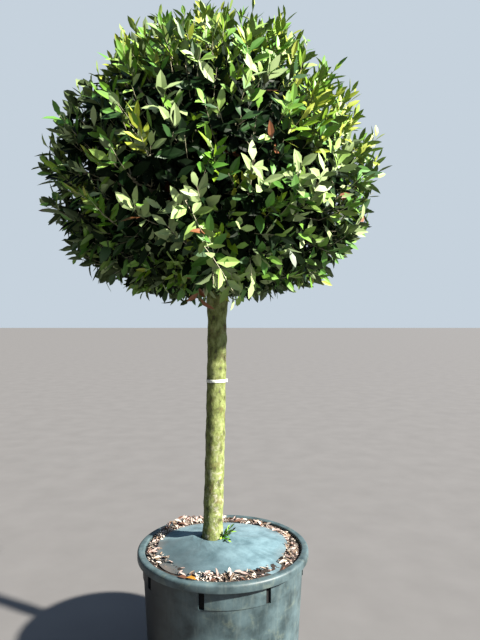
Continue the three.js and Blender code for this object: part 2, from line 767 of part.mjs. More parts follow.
function named(name, solid, material) {
  const mesh = new THREE.Mesh(geometryOf(solid), material);
  mesh.name = name;
  return mesh;
}

const boughs = boughSpecs();
const leaders = leaderSpecs();
const wood = woodStations([...boughs, ...leaders]);
const tips = shootTips();
const shell = crownShell(CORE.outside).subtract(crownShell(CORE.inside));
const vase = crownVase();

const container = new THREE.Group();
container.add(named("pot", potSolid(), FINISHES.pot));
container.add(named("soil", soilSolid(), FINISHES.soil));
container.add(named("weed_mat", matSolid(), FINISHES.mat));
container.add(named("mulch", mulchSolid(), FINISHES.mulch));

const tree = new THREE.Group();
tree.add(named("trunk", trunkSolid(), FINISHES.bark));
tree.add(named("trunk_tie", tieSolid(), FINISHES.tie));
tree.add(named("basal_shoot", basalShootSolid(), FINISHES.youngLeaves));
boughs.forEach((limb, i) => tree.add(named(`bough_${i + 1}`, boughSolid(limb), FINISHES.boughBark)));
leaders.forEach((limb, i) => tree.add(named(`leader_${i + 1}`, boughSolid(limb), FINISHES.boughBark)));

const crown = new THREE.Group();
massSpecs(boughs, false).forEach((mass, i) => {
  crown.add(named(`foliage_side_${i + 1}`, massSolid(mass, tips, shell, vase, wood), FINISHES.leaves));
});
massSpecs(leaders, true).forEach((mass, i) => {
  crown.add(named(`foliage_top_${i + 1}`, massSolid(mass, tips, shell, vase, wood), FINISHES.leaves));
});

const plant = new THREE.Group();
plant.add(container, tree, crown);

export default plant;
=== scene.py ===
"""A standard bay: a clipped ball of bay laurel on a clear stem, in a round nursery pot.

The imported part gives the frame, and everything here is in metres in that frame: +Z is up, the origin is
the middle of the pot's flat underside, and -Y is the front. A bearing is an angle in degrees measured
from the front towards the right.
"""

from __future__ import annotations

import logging
import math
from collections.abc import Iterator, Sequence
from contextlib import contextmanager
from dataclasses import dataclass, field
from enum import Enum
from typing import Self

import bpy
import numpy as np
from mathutils import Matrix, Vector, noise


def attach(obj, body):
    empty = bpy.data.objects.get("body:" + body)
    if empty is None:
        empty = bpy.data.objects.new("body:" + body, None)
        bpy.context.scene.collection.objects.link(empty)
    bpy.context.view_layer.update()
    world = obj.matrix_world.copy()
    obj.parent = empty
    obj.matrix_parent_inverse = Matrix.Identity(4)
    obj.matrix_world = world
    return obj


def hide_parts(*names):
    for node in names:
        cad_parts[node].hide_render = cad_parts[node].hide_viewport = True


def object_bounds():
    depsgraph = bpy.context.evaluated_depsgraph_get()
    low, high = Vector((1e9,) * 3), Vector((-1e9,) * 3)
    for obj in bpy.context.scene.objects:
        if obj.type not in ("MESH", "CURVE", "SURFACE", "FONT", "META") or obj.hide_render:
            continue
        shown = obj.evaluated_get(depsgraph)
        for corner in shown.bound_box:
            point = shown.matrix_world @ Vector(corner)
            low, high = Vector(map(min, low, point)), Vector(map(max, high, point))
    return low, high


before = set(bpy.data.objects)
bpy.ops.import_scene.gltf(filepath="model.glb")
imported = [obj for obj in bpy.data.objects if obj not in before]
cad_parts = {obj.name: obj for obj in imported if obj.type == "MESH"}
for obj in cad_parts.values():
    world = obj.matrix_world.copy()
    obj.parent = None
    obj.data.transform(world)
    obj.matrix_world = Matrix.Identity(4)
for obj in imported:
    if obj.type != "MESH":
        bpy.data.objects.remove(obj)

log = logging.getLogger("standard_bay")

MM = 0.001
BODY = "root"
CAD_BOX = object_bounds()
FLAT = 1e-9  # the least length that a vector is divided by
SEAM = 0.2 * MM  # points of a bent grid that lie closer than this are merged
GOLDEN_ANGLE = math.pi * (3 - math.sqrt(5))

# Short names for types

Array = np.ndarray
Numbers = float | Array
Pair = tuple[float, float]
Shades = tuple[tuple[float, str], ...]
Draws = np.random.Generator
Piece = bpy.types.Object
Tree = bpy.types.NodeTree
Node = bpy.types.Node
Socket = bpy.types.NodeSocket


# Small helpers


def linear(colour: str) -> tuple[float, float, float, float]:
    """Turns an sRGB hex colour into linear values.

    Args:
        colour: Six hex digits after a hash.

    Returns:
        Red, green and blue in linear light, and an alpha of one.
    """
    channels = [int(colour[i : i + 2], 16) / 255 for i in (1, 3, 5)]
    bright = [c / 12.92 if c <= 0.04045 else ((c + 0.055) / 1.055) ** 2.4 for c in channels]
    return (*bright, 1.0)


def find_socket(sockets: bpy.types.bpy_prop_collection, key: str) -> Socket | None:
    """A node's socket by its identifier, or else by its name."""
    by_identifier = next((s for s in sockets if s.identifier == key), None)
    return by_identifier or next((s for s in sockets if s.name == key), None)


def add_node(tree: Tree, kind: str, settings: dict | None = None, links: dict | None = None) -> Node:
    """Adds a node with its settings and links.

    Args:
        tree: The node tree that it goes into.
        kind: The node's type.
        settings: Values by the name of a property or of an input. "stops" holds a colour ramp's stops.
        links: The outputs that feed the node, by the name of its input.

    Returns:
        The new node.
    """
    node = tree.nodes.new(kind)
    for key, value in (settings or {}).items():
        if key == "stops":
            for extra in range(len(value) - len(node.color_ramp.elements)):
                node.color_ramp.elements.new(0.5 + extra / 100)
            for element, (place, colour) in zip(node.color_ramp.elements, value):
                element.position, element.color = place, linear(colour)
        elif find_socket(node.inputs, key):
            find_socket(node.inputs, key).default_value = value
        else:
            setattr(node, key, value)
    for key, source in (links or {}).items():
        tree.links.new(source, find_socket(node.inputs, key))
    return node


def bearing(degrees: Numbers) -> Array:
    """The level direction at a bearing."""
    angle = np.radians(degrees)
    return np.stack([np.sin(angle), -np.cos(angle), np.zeros_like(angle)], axis=-1)


def bearing_of(points: Array) -> Array:
    """The bearings of points from the origin, from 0 to 360."""
    return np.degrees(np.arctan2(points[..., 0], -points[..., 1])) % 360


def beside(degrees: Array, toward: float) -> Array:
    """How far bearings are from one of them, from -180 to 180."""
    return (degrees - toward + 180) % 360 - 180


def near(degrees: Array, toward: float, width: float, power: int = 2) -> Array:
    """How near bearings are to one of them, from 1 there down to 0 further off.

    Args:
        degrees: The bearings.
        toward: The one.
        width: How many degrees from it the value has fallen to about a third.
        power: How steeply it falls there.

    Returns:
        The nearness of each bearing.
    """
    return np.exp(-((beside(degrees, toward) / width) ** power))


def unit(vectors: Array) -> Array:
    """The vectors at a length of one."""
    return vectors / np.maximum(np.linalg.norm(vectors, axis=-1, keepdims=True), FLAT)


def lerp(low: Numbers, high: Numbers, share: Numbers) -> Numbers:
    """The value at a share of the way from low to high."""
    return low + (high - low) * share


def smoothstep(value: Numbers, low: float, high: float) -> Numbers:
    """A smooth rise from 0 at low to 1 at high."""
    share = np.clip((value - low) / (high - low), 0, 1)
    return share * share * (3 - 2 * share)


def square_to(facing: Array, heading: Array) -> Array:
    """The part of facings that is square to headings, at a length of one."""
    return unit(facing - heading * (facing * heading).sum(1, keepdims=True))


def turned_about(along: Array, side: Array, angle: Array) -> Array:
    """The directions at angles from side, round the line along."""
    return side * np.cos(angle)[:, None] + np.cross(along, side) * np.sin(angle)[:, None]


def relief(points: Array, size: float, seed: float = 0.0, octaves: int = 3) -> Array:
    """Smooth noise at points.

    Args:
        points: The points, one a row.
        size: The size of its largest lumps, in metres.
        seed: Moves the pattern.
        octaves: How many finer layers it has.

    Returns:
        A value from about -1 to 1 for each point.
    """
    shift = Vector((seed, -seed, 2 * seed))
    return np.array([noise.fractal(Vector(p) / size + shift, 0.8, 2.1, octaves) for p in points])


@contextmanager
def editing(piece: Piece) -> Iterator[None]:
    """Holds a piece in edit mode, with all of it selected at the start.

    Args:
        piece: The piece.

    Yields:
        Nothing: it is in edit mode till the block ends.
    """
    bpy.ops.object.select_all(action="DESELECT")
    bpy.context.view_layer.objects.active = piece
    piece.select_set(True)
    bpy.ops.object.mode_set(mode="EDIT")
    bpy.ops.mesh.select_all(action="SELECT")
    yield
    bpy.ops.object.mode_set(mode="OBJECT")
    bpy.ops.object.select_all(action="DESELECT")


def apply_modifier(piece: Piece, kind: str, **settings) -> None:
    """Adds a modifier to a piece and applies it.

    Args:
        piece: The piece.
        kind: The modifier's type.
        settings: Its properties.
    """
    modifier = piece.modifiers.new(kind.title(), kind)
    for name, value in settings.items():
        setattr(modifier, name, value)
    with bpy.context.temp_override(object=piece, active_object=piece, selected_objects=[piece]):
        bpy.ops.object.modifier_apply(modifier=modifier.name)


def bake_place(piece: Piece) -> None:
    """Moves a piece's place, turn and size into its mesh.

    Args:
        piece: The piece.
    """
    bpy.context.view_layer.update()
    piece.data.transform(piece.matrix_world)
    piece.matrix_world = Matrix.Identity(4)


def take_primitive(name: str) -> Piece:
    """Names the primitive that was just added, and moves its place into its mesh.

    Args:
        name: The piece's name.

    Returns:
        The piece.
    """
    piece = bpy.context.active_object
    piece.name = piece.data.name = name
    bake_place(piece)
    bpy.ops.object.select_all(action="DESELECT")
    return piece


def joined(name: str, parts: Sequence[Piece]) -> Piece:
    """Joins several pieces into one.

    Args:
        name: The joined piece's name.
        parts: The pieces, whose first one keeps its object.

    Returns:
        The joined piece.
    """
    with bpy.context.temp_override(
        object=parts[0], active_object=parts[0], selected_objects=parts, selected_editable_objects=parts
    ):
        bpy.ops.object.join()
    parts[0].name = parts[0].data.name = name
    return parts[0]


def points_of(piece: Piece) -> Array:
    """Reads a piece's vertices.

    Args:
        piece: The piece.

    Returns:
        The vertices, one a row.
    """
    points = np.empty(len(piece.data.vertices) * 3)
    piece.data.vertices.foreach_get("co", points)
    return points.reshape(-1, 3)


def set_points(piece: Piece, points: Array) -> None:
    """Moves a piece's vertices."""
    piece.data.vertices.foreach_set("co", points.astype(np.float32).ravel())
    piece.data.update()


def set_attribute(piece: Piece, name: str, values: Array) -> None:
    """Keeps a value at each vertex, for a material to read."""
    kept = piece.data.attributes.new(name, "FLOAT", "POINT")
    kept.data.foreach_set("value", values.astype(np.float32))


def flat_grid(name: str, around: int, rows: int) -> tuple[Piece, Array, Array]:
    """Adds a flat grid that is to be bent round a line or a ring.

    Args:
        name: The piece's name.
        around: How many faces it will have round the line.
        rows: And along it.

    Returns:
        The piece, each vertex's place round the line from -0.5 to 0.5, and along it from 0 to 1.
    """
    bpy.ops.mesh.primitive_grid_add(x_subdivisions=around, y_subdivisions=rows, size=1)
    piece = take_primitive(name)
    flat = points_of(piece)
    return piece, flat[:, 0], flat[:, 1] + 0.5


def smooth(piece: Piece, crease: float) -> None:
    """Smooths a piece's faces, apart from edges that turn by more than the crease, in degrees."""
    piece.data.shade_smooth()
    piece.data.set_sharp_from_angle(angle=math.radians(crease))


def close_tube(piece: Piece) -> None:
    """Closes the seam and the ends of a grid that was bent round, and smooths its faces.

    Args:
        piece: The bent grid.
    """
    with editing(piece):
        bpy.ops.mesh.remove_doubles(threshold=SEAM)
        bpy.ops.mesh.fill_holes(sides=0)
        bpy.ops.mesh.normals_make_consistent(inside=False)
    piece.data.shade_smooth()


def dress(piece: Piece, *finishes: Finish) -> None:
    """Gives a piece its materials. Where it has none yet, nothing is cleared, because that would also
    undo which face has which.

    Args:
        piece: The piece.
        finishes: Its materials, in the order of their indices.
    """
    if piece.data.materials:
        piece.data.materials.clear()
    for finish in finishes:
        piece.data.materials.append(finish.material())


def settle(piece: Piece, slot: str, node: str, *finishes: Finish) -> None:
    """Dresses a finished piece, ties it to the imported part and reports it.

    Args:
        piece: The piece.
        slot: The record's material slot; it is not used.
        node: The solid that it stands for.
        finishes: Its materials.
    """
    dress(piece, *finishes)
    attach(piece, BODY)
    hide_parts(node)
    log.info("%s: %d faces", piece.name, len(piece.data.polygons))


# Finishes


@dataclass(frozen=True)
class Finish:
    """What all finishes share: a name, the gloss, and a material that is made once."""

    name: str
    roughness: float = 0.6
    ior: float = 1.5
    coat: float = 0.0
    sheen: float = 0.0

    def paint(self, tree: Tree, shader: Node) -> None:
        """Gives the shader its colour, and its bump if it has one."""
        raise NotImplementedError

    def material(self) -> bpy.types.Material:
        """Makes the finish a Blender material, or finds the one that it was made.

        Returns:
            The material.
        """
        made = bpy.data.materials.get(self.name)
        if made is None:
            made = bpy.data.materials.new(self.name)
            made.use_nodes = True
            shader = made.node_tree.nodes["Principled BSDF"]
            gloss = {
                "Roughness": self.roughness,
                "IOR": self.ior,
                "Coat Weight": self.coat,
                "Coat Roughness": 0.25,
                "Sheen Weight": self.sheen,
                "Sheen Roughness": 0.6,
            }
            for socket, value in gloss.items():
                shader.inputs[socket].default_value = value
            self.paint(made.node_tree, shader)
        return made


@dataclass(frozen=True)
class PlainFinish(Finish):
    """A plain colour, for small things whose colours are dealt out piece by piece."""

    colour: str = "#808080"

    def paint(self, tree: Tree, shader: Node) -> None:
        """Sets the colour."""
        shader.inputs["Base Color"].default_value = linear(self.colour)


@dataclass(frozen=True)
class LeafFinish(PlainFinish):
    """A bay leaf's face: leathery, with a thin wax that gives it a broad soft gloss."""

    roughness: float = 0.52
    coat: float = 0.02


@dataclass(frozen=True)
class UndersideFinish(PlainFinish):
    """A bay leaf's underside: paler than its face, and matt."""

    roughness: float = 0.62
    ior: float = 1.4


@dataclass(frozen=True)
class LitterFinish(PlainFinish):
    """Dry bark and dead leaves: matt, bleached to tans and browns by the sun."""

    roughness: float = 0.9
    ior: float = 1.45


@dataclass(frozen=True)
class Grain:
    """A natural pattern: its features' size, its fineness, and how far it is drawn out up and down."""

    size_mm: float
    detail: float
    roughness: float = 0.5
    distortion: float = 0.0
    drawn_out: float = 1.0


@dataclass(frozen=True)
class Mask:
    """Where a coat lies: a pattern, an axis or an attribute, whose low to high gives least to most."""

    source: Grain | str
    low: float = 0.0
    high: float = 1.0
    least: float = 0.0
    most: float = 1.0
    curve: str = "LINEAR"


@dataclass(frozen=True)
class Coat:
    """A colour that covers the ones beneath it as far as all its masks let it."""

    colour: str
    masks: tuple[Mask, ...]


@dataclass(frozen=True)
class NaturalFinish(Finish):
    """A ground whose colour varies with a pattern, coats over it, and a bump."""

    ground: Grain = Grain(10, detail=3)
    shades: Shades = ((0, "#808080"), (1, "#808080"))
    coats: tuple[Coat, ...] = ()
    bumps: Grain | None = None
    bump_strength: float = 0.0
    bump_mm: float = 0.0

    def read(self, tree: Tree, source: Grain | str) -> Socket:
        """Adds the nodes that read a pattern, an axis of the place or an attribute.

        Args:
            tree: The node tree.
            source: The pattern, X or Z, or the attribute's name.

        Returns:
            The output that gives its value.
        """
        place = add_node(tree, "ShaderNodeTexCoord").outputs["Object"]
        if source in ("X", "Z"):
            return add_node(tree, "ShaderNodeSeparateXYZ", {}, {"Vector": place}).outputs[source]
        if isinstance(source, str):
            return add_node(tree, "ShaderNodeAttribute", {"attribute_name": source}).outputs["Fac"]
        drawn = add_node(tree, "ShaderNodeMapping", {"Scale": (1, 1, source.drawn_out)}, {"Vector": place})
        settings = {
            "Scale": 1 / (source.size_mm * MM),
            "Detail": source.detail,
            "Roughness": source.roughness,
            "Distortion": source.distortion,
        }
        pattern = add_node(tree, "ShaderNodeTexNoise", settings, {"Vector": drawn.outputs["Vector"]})
        return pattern.outputs["Fac"]

    def cover(self, tree: Tree, under: Socket, coat: Coat) -> Socket:
        """Lays a coat over what is beneath it.

        Args:
            tree: The node tree.
            under: The colour beneath.
            coat: The coat.

        Returns:
            The colour with the coat on.
        """
        factor = None
        for mask in coat.masks:
            span = {"From Min": mask.low, "From Max": mask.high, "To Min": mask.least, "To Max": mask.most}
            span["interpolation_type"] = mask.curve
            ranged = add_node(tree, "ShaderNodeMapRange", span, {"Value": self.read(tree, mask.source)})
            here = ranged.outputs["Result"]
            if factor is not None:
                both = {"Value": factor, "Value_001": here}
                here = add_node(tree, "ShaderNodeMath", {"operation": "MULTIPLY"}, both).outputs["Value"]
            factor = here
        paint = {"data_type": "RGBA", "B_Color": linear(coat.colour)}
        mixed = add_node(tree, "ShaderNodeMix", paint, {"Factor_Float": factor, "A_Color": under})
        return find_socket(mixed.outputs, "Result_Color")

    def paint(self, tree: Tree, shader: Node) -> None:
        """Adds the ground's shades, the coats in their order and the bump.

        Args:
            tree: The material's node tree.
            shader: Its shader.
        """
        pattern = {"Fac": self.read(tree, self.ground)}
        colour = add_node(tree, "ShaderNodeValToRGB", {"stops": self.shades}, pattern).outputs["Color"]
        for coat in self.coats:
            colour = self.cover(tree, colour, coat)
        tree.links.new(colour, shader.inputs["Base Color"])
        if self.bumps:
            relief_of = {"Strength": self.bump_strength, "Distance": self.bump_mm * MM}
            bump = add_node(tree, "ShaderNodeBump", relief_of, {"Height": self.read(tree, self.bumps)})
            tree.links.new(bump.outputs["Normal"], shader.inputs["Normal"])


@dataclass(frozen=True)
class MouldedPolyethylene(NaturalFinish):
    """Black polyethylene, injection moulded: satin, bleached grey-green by the sun, with dust that rain
    has run down the wall in streaks and splashes of lime. Its left side, turned away from the key
    light, is painted dark below the rim as shade."""

    name: str = "moulded_polyethylene"
    roughness: float = 0.5
    ground: Grain = Grain(90, detail=5, roughness=0.6)
    shades: Shades = ((0.34, "#29383b"), (0.66, "#4f6266"))
    dust = Coat("#868f86", (Mask(Grain(16, 6, 0.65, drawn_out=0.16), 0.5, 0.78, most=0.195),))
    lime = Coat("#7d8570", (Mask(Grain(70, 8, 0.75, 0.6), 0.54, 0.7, most=0.352),))
    # painted shade: the wall's left side, turned away from the key light, is darkened below the rim
    wet = Coat(
        "#07141a", (Mask("X", -0.08, -0.30, most=0.95, curve="SMOOTHSTEP"), Mask("Z", 0.528, 0.520))
    )
    coats: tuple[Coat, ...] = (dust, lime, wet)
    bumps: Grain = Grain(2.4, detail=3)
    bump_strength: float = 0.25
    bump_mm: float = 0.4


@dataclass(frozen=True)
class NeedledFelt(NaturalFinish):
    """Weed mat: polyester felt, needled, so its surface is matt and fuzzy, with sun-bleached patches, a
    darker front left and soil washed over its rim."""

    name: str = "needled_felt"
    roughness: float = 0.9
    sheen: float = 0.05
    ground: Grain = Grain(85, detail=7, roughness=0.62)
    shades: Shades = ((0.32, "#33515a"), (0.68, "#69868f"))
    # darker towards the front left, by the attribute that the mat sets there
    wet = Coat("#12292f", (Mask("damp"),))
    soil = Coat("#6b4f38", (Mask("washed"), Mask(ground)))
    coats: tuple[Coat, ...] = (wet, soil)
    bumps: Grain = Grain(3, detail=4, distortion=1.5)
    bump_strength: float = 0.5
    bump_mm: float = 0.6


@dataclass(frozen=True)
class DampCompost(NaturalFinish):
    """Composted bark and peat, moist: nearly black crumbs with a few paler fibres, and painted black
    further down as shade, so the slots and drain holes look dark."""

    name: str = "damp_compost"
    roughness: float = 0.95
    ground: Grain = Grain(5, detail=6, roughness=0.7)
    shades: Shades = ((0.4, "#130e0b"), (0.7, "#392c22"))
    # painted shade: the compost is black below the mulch, where it is seen only through the slots and drain
    # holes
    coats: tuple[Coat, ...] = (Coat("#050606", (Mask("Z", 0.540, 0.520),)),)
    bumps: Grain = ground
    bump_strength: float = 0.8
    bump_mm: float = 2.0


@dataclass(frozen=True)
class LichenBark(NaturalFinish):
    """Bay bark: smooth and olive, filmed with yellow-green algae and worn bare in places, with grey-white
    crusts of lichen low on the stem and dark fissures in its growth."""

    name: str = "lichen_bark"
    roughness: float = 0.82
    ground: Grain = Grain(24, detail=7, roughness=0.66, drawn_out=0.6)
    shades: Shades = ((0.36, "#404125"), (0.48, "#697438"), (0.63, "#8a945c"))
    fissures = Grain(11, detail=6, roughness=0.7, drawn_out=0.6)
    bare = Coat("#665a35", (Mask(Grain(48, 6, 0.7), 0.52, 0.66, most=0.7),))
    crust = Coat(
        "#a8a891", (Mask(Grain(26, 5, 0.7, 0.4), 0.53, 0.64, most=0.9), Mask("Z", 1.15, 0.80, least=0.12))
    )
    crack = Coat("#2c2817", (Mask(fissures, 0.42, 0.34, most=0.7),))
    coats: tuple[Coat, ...] = (bare, crust, crack)
    bumps: Grain = fissures
    bump_strength: float = 0.9
    bump_mm: float = 2.2


@dataclass(frozen=True)
class BoughBark(NaturalFinish):
    """Young bay bark: smooth olive-brown, slightly waxy, with pale pores."""

    name: str = "bough_bark"
    roughness: float = 0.7
    ground: Grain = Grain(9, detail=5, roughness=0.65)
    shades: Shades = ((0.36, "#37321f"), (0.66, "#6d6741"))
    bumps: Grain = ground
    bump_strength: float = 0.4
    bump_mm: float = 0.8


@dataclass(frozen=True)
class StrapPlastic(NaturalFinish):
    """Soft white vinyl tape: smooth, slightly shiny, greyed by algae in its scratches."""

    name: str = "strap_plastic"
    roughness: float = 0.4
    ior: float = 1.53
    ground: Grain = Grain(6, detail=4)
    shades: Shades = ((0.4, "#eef3ee"), (0.75, "#b8c2b0"))


@dataclass(frozen=True)
class PaintedBoard(NaturalFinish):
    """The studio floor: a board painted pale grey, with a roller's faint mottling."""

    name: str = "painted_board"
    roughness: float = 0.9
    ground: Grain = Grain(300, detail=3)
    shades: Shades = ((0.3, "#605f5e"), (0.7, "#656463"))


# Meshes from arrays


@dataclass
class MeshArrays:
    """Points and triangles of many small things, gathered before they become one mesh."""

    points: list[Array] = field(default_factory=list)
    triangles: list[Array] = field(default_factory=list)
    tints: list[Array] = field(default_factory=list)
    sharp: list[Array] = field(default_factory=list)
    count: int = 0

    def add(self, points: Array, triangles: Array, tints: Array, sharp: Array) -> None:
        """Adds things of one shape.

        Args:
            points: Things by points by 3.
            triangles: The triangles of one thing, as indices of its points.
            tints: Things by triangles, each the index of a material.
            sharp: Groups of points, as bits: an edge whose ends share a bit is sharp.
        """
        things, each, _ = points.shape
        offsets = self.count + np.arange(things)[:, None, None] * each
        self.points.append(points.reshape(-1, 3))
        self.triangles.append((triangles[None] + offsets).reshape(-1, 3))
        self.tints.append(tints.reshape(-1))
        self.sharp.append(np.tile(sharp, things))
        self.count += things * each

    def piece(self, name: str) -> Piece:
        """Makes the gathered things one object with smooth faces and sharp edges.

        Args:
            name: The object's name.

        Returns:
            The object.
        """
        points = np.concatenate(self.points).astype(np.float32)
        triangles = np.concatenate(self.triangles).astype(np.int32)
        mesh = bpy.data.meshes.new(name)
        mesh.vertices.add(len(points))
        mesh.vertices.foreach_set("co", points.ravel())
        mesh.loops.add(triangles.size)
        mesh.loops.foreach_set("vertex_index", triangles.ravel())
        mesh.polygons.add(len(triangles))
        mesh.polygons.foreach_set("loop_start", np.arange(0, triangles.size, 3, dtype=np.int32))
        mesh.polygons.foreach_set("material_index", np.concatenate(self.tints).astype(np.int32))
        mesh.update(calc_edges=True)
        mesh.polygons.foreach_set("use_smooth", np.ones(len(triangles), bool))
        ends = np.empty(len(mesh.edges) * 2, np.int32)
        mesh.edges.foreach_get("vertices", ends)
        bits = np.concatenate(self.sharp)[ends.reshape(-1, 2)]
        edge_is_sharp = mesh.attributes.new("sharp_edge", "BOOLEAN", "EDGE")
        edge_is_sharp.data.foreach_set("value", (bits[:, 0] & bits[:, 1]) > 0)
        mesh.validate()
        made = bpy.data.objects.new(name, mesh)
        bpy.context.scene.collection.objects.link(made)
        return made


def on_curve(start: Array, knee: Array, end: Array, share: Array) -> Array:
    """The points at shares of curves with one knee."""
    return start * (1 - share) ** 2 + knee * 2 * share * (1 - share) + end * share**2


def bezier(start: Array, knee: Array, end: Array, shares: Array) -> Array:
    """Points along curves with one knee.

    Args:
        start: Where each curve starts, one a row.
        knee: What it bends towards.
        end: Where it ends.
        shares: The places along it, from 0 to 1.

    Returns:
        Curves by shares by 3.
    """
    return on_curve(start[:, None], knee[:, None], end[:, None], shares[None, :, None])


def add_tubes(arrays: MeshArrays, paths: Array, radii: Array, sides: int) -> None:
    """Adds closed tubes along paths, as twigs.

    Args:
        arrays: Where they go.
        paths: Tubes by points by 3.
        radii: Tubes by points.
        sides: How many sides each has.
    """
    tubes, steps, _ = paths.shape
    along = unit(np.gradient(paths, axis=1))
    guide = np.where(np.abs(along[..., 2:3]) > 0.9, [1.0, 0.0, 0.0], [0.0, 0.0, 1.0])
    side = unit(np.cross(guide, along))
    other = np.cross(along, side)
    angles = 2 * math.pi * np.arange(sides) / sides
    ring = side[:, :, None] * np.cos(angles)[None, None, :, None]
    ring = ring + other[:, :, None] * np.sin(angles)[None, None, :, None]
    points = paths[:, :, None] + ring * radii[:, :, None, None]
    triangles = []
    for row in range(steps - 1):
        for i in range(sides):
            here, there = row * sides + i, row * sides + (i + 1) % sides
            triangles += [(here, there, there + sides), (here, there + sides, here + sides)]
    last = (steps - 1) * sides
    triangles += [(0, i + 1, i) for i in range(1, sides - 1)]
    triangles += [(last, last + i, last + i + 1) for i in range(1, sides - 1)]
    faces = np.array(triangles)
    ends = np.zeros(steps * sides, np.int32)
    ends[:sides] = ends[last:] = 1
    arrays.add(points.reshape(tubes, -1, 3), faces, np.zeros((tubes, len(faces)), int), ends)


class Rows:
    """Many things of one kind, whose fields have one row for each."""

    def kept(self, keep: Array) -> Self:
        """The things that are marked in keep."""
        return type(self)(*(getattr(self, name)[keep] for name in self.__dataclass_fields__))

    @classmethod
    def merged(cls, parts: Sequence[Self]) -> Self:
        """The things of all the parts."""
        fields = cls.__dataclass_fields__
        return cls(*(np.concatenate([getattr(part, name) for part in parts]) for name in fields))


def add_twigs(arrays: MeshArrays, curves: Sequence[Array], steps: int, radii: Pair, sides: int) -> None:
    """Adds tapering twigs along curves with one knee.

    Args:
        arrays: Where they go.
        curves: Where each starts, what it bends towards and where it ends.
        steps: How many points each has along it.
        radii: Their thickness at the start and the end.
        sides: How many sides each has.
    """
    shares = np.linspace(0, 1, steps)
    paths = bezier(*curves, shares)
    add_tubes(arrays, paths, np.repeat(lerp(*radii, shares)[None], len(paths), 0), sides)


@dataclass(frozen=True)
class LeafBlade:
    """The outline of a bay leaf: a short stalk, widest just below the middle, and a pointed tip."""

    stations: tuple[float, ...] = (0.13, 0.42, 0.76)
    widths: tuple[float, ...] = (0.34, 1.0, 0.70)
    thickness: float = 0.9 * MM

    def triangles(self) -> Array:
        """Works out the leaf's triangles: its upper face and then its underside.

        Returns:
            The triangles, as indices of a leaf's points.
        """
        base, tip = 0, 1
        rows = len(self.stations)
        left, right, ridge, keel = (range(2 + rows * k, 2 + rows * (k + 1)) for k in range(4))
        upper = []
        for edge, inward in ((left, True), (right, False)):
            strip = [(base, ridge[0], edge[0])]
            for i in range(rows - 1):
                strip += [(ridge[i], ridge[i + 1], edge[i + 1]), (ridge[i], edge[i + 1], edge[i])]
            strip.append((ridge[-1], tip, edge[-1]))
            upper += strip if inward else [face[::-1] for face in strip]
        under = dict(zip(ridge, keel))
        lower = [tuple(under.get(p, p) for p in face[::-1]) for face in upper]
        return np.array(upper + lower)

    def sharp(self) -> Array:
        """The groups of points whose edges are sharp: the margin, the ridge and the keel."""
        rows = len(self.stations)
        margin, ridge, keel = 1, 2, 4
        return np.array([7, 7] + [margin] * 2 * rows + [ridge] * rows + [keel] * rows)

    def rib(self, leaves: Leaves, share: float, lift: float = 0.0) -> Array:
        """Points on the leaves' midribs.

        Args:
            leaves: The leaves.
            share: How far along each the point lies.
            lift: How far it lies above the rib.

        Returns:
            The points, one a row.
        """
        length, arch = leaves.length[:, None], leaves.arch[:, None]
        bend = arch * share * share * length
        way = leaves.base + leaves.along * share * length * (1 - 0.2 * np.abs(arch) * share)
        return way - leaves.above * (bend - lift)

    def points(self, leaves: Leaves) -> Array:
        """Works out the leaves' points.

        Args:
            leaves: The leaves.

        Returns:
            Leaves by points by 3.
        """
        above, left = leaves.above, np.cross(leaves.above, leaves.along)
        lefts, rights, ridges, keels = [], [], [], []
        for share, part in zip(self.stations, self.widths):
            half = leaves.width[:, None] * part / 2
            raised = half * leaves.fold[:, None]
            turned = half * leaves.twist[:, None] * share
            middle = self.rib(leaves, share)
            lefts.append(middle + left * half + above * (raised + turned))
            rights.append(middle - left * half + above * (raised - turned))
            ridges.append(self.rib(leaves, share, self.thickness / 2))
            keels.append(self.rib(leaves, share, -self.thickness / 2))
        return np.stack([leaves.base, self.rib(leaves, 1.0), *lefts, *rights, *ridges, *keels], axis=1)


@dataclass
class Leaves(Rows):
    """Many leaves, one a row: where each starts, which way it points and faces, and its shape."""

    base: Array
    along: Array
    above: Array
    length: Array
    width: Array
    fold: Array
    arch: Array
    twist: Array
    shoot: Array

    def tips(self) -> Array:
        """Where the leaves end."""
        bend = self.above * (self.arch * self.length)[:, None]
        return self.base + self.along * self.length[:, None] - bend


BLADE = LeafBlade()


def add_leaves(arrays: MeshArrays, leaves: Leaves, upper: Array, under: Array) -> None:
    """Adds leaves to a mesh.

    Args:
        arrays: Where they go.
        leaves: The leaves.
        upper: The index of each leaf's upper material.
        under: The index of its underside's.
    """
    triangles = BLADE.triangles()
    half = len(triangles) // 2
    tints = np.concatenate([np.repeat(upper[:, None], half, 1), np.repeat(under[:, None], half, 1)], 1)
    arrays.add(BLADE.points(leaves), triangles, tints, BLADE.sharp())


# The source's own rule for the limbs


class SeededDraws:
    """The run of numbers from 0 to 1 that the solids were grown with."""

    MASK = 0xFFFFFFFF

    def __init__(self, seed: int) -> None:
        """Starts the run at a seed."""
        self.state = seed

    def draw(self) -> float:
        """Draws the next number.

        Returns:
            A number from 0 to 1.
        """
        self.state = (self.state + 0x6D2B79F5) & self.MASK
        t = self.state
        t = ((t ^ (t >> 15)) * (t | 1)) & self.MASK
        t ^= (t + ((t ^ (t >> 7)) * (t | 61))) & self.MASK
        return ((t ^ (t >> 14)) & self.MASK) / 2**32

    def between(self, low: float, high: float) -> float:
        """The next number, from low to high."""
        return low + (high - low) * self.draw()


@dataclass(frozen=True)
class Limb:
    """A bough or leader: a curve from inside the trunk to the mass of foliage that it carries."""

    name: str
    start: Array
    knee: Array
    tip: Array
    thick: float
    thin: float

    def points(self, shares: Array) -> Array:
        """Points at shares of its length."""
        return bezier(self.start[None], self.knee[None], self.tip[None], shares)[0]

    def heading(self) -> Array:
        """The direction in which it ends."""
        return unit(self.tip - self.knee)


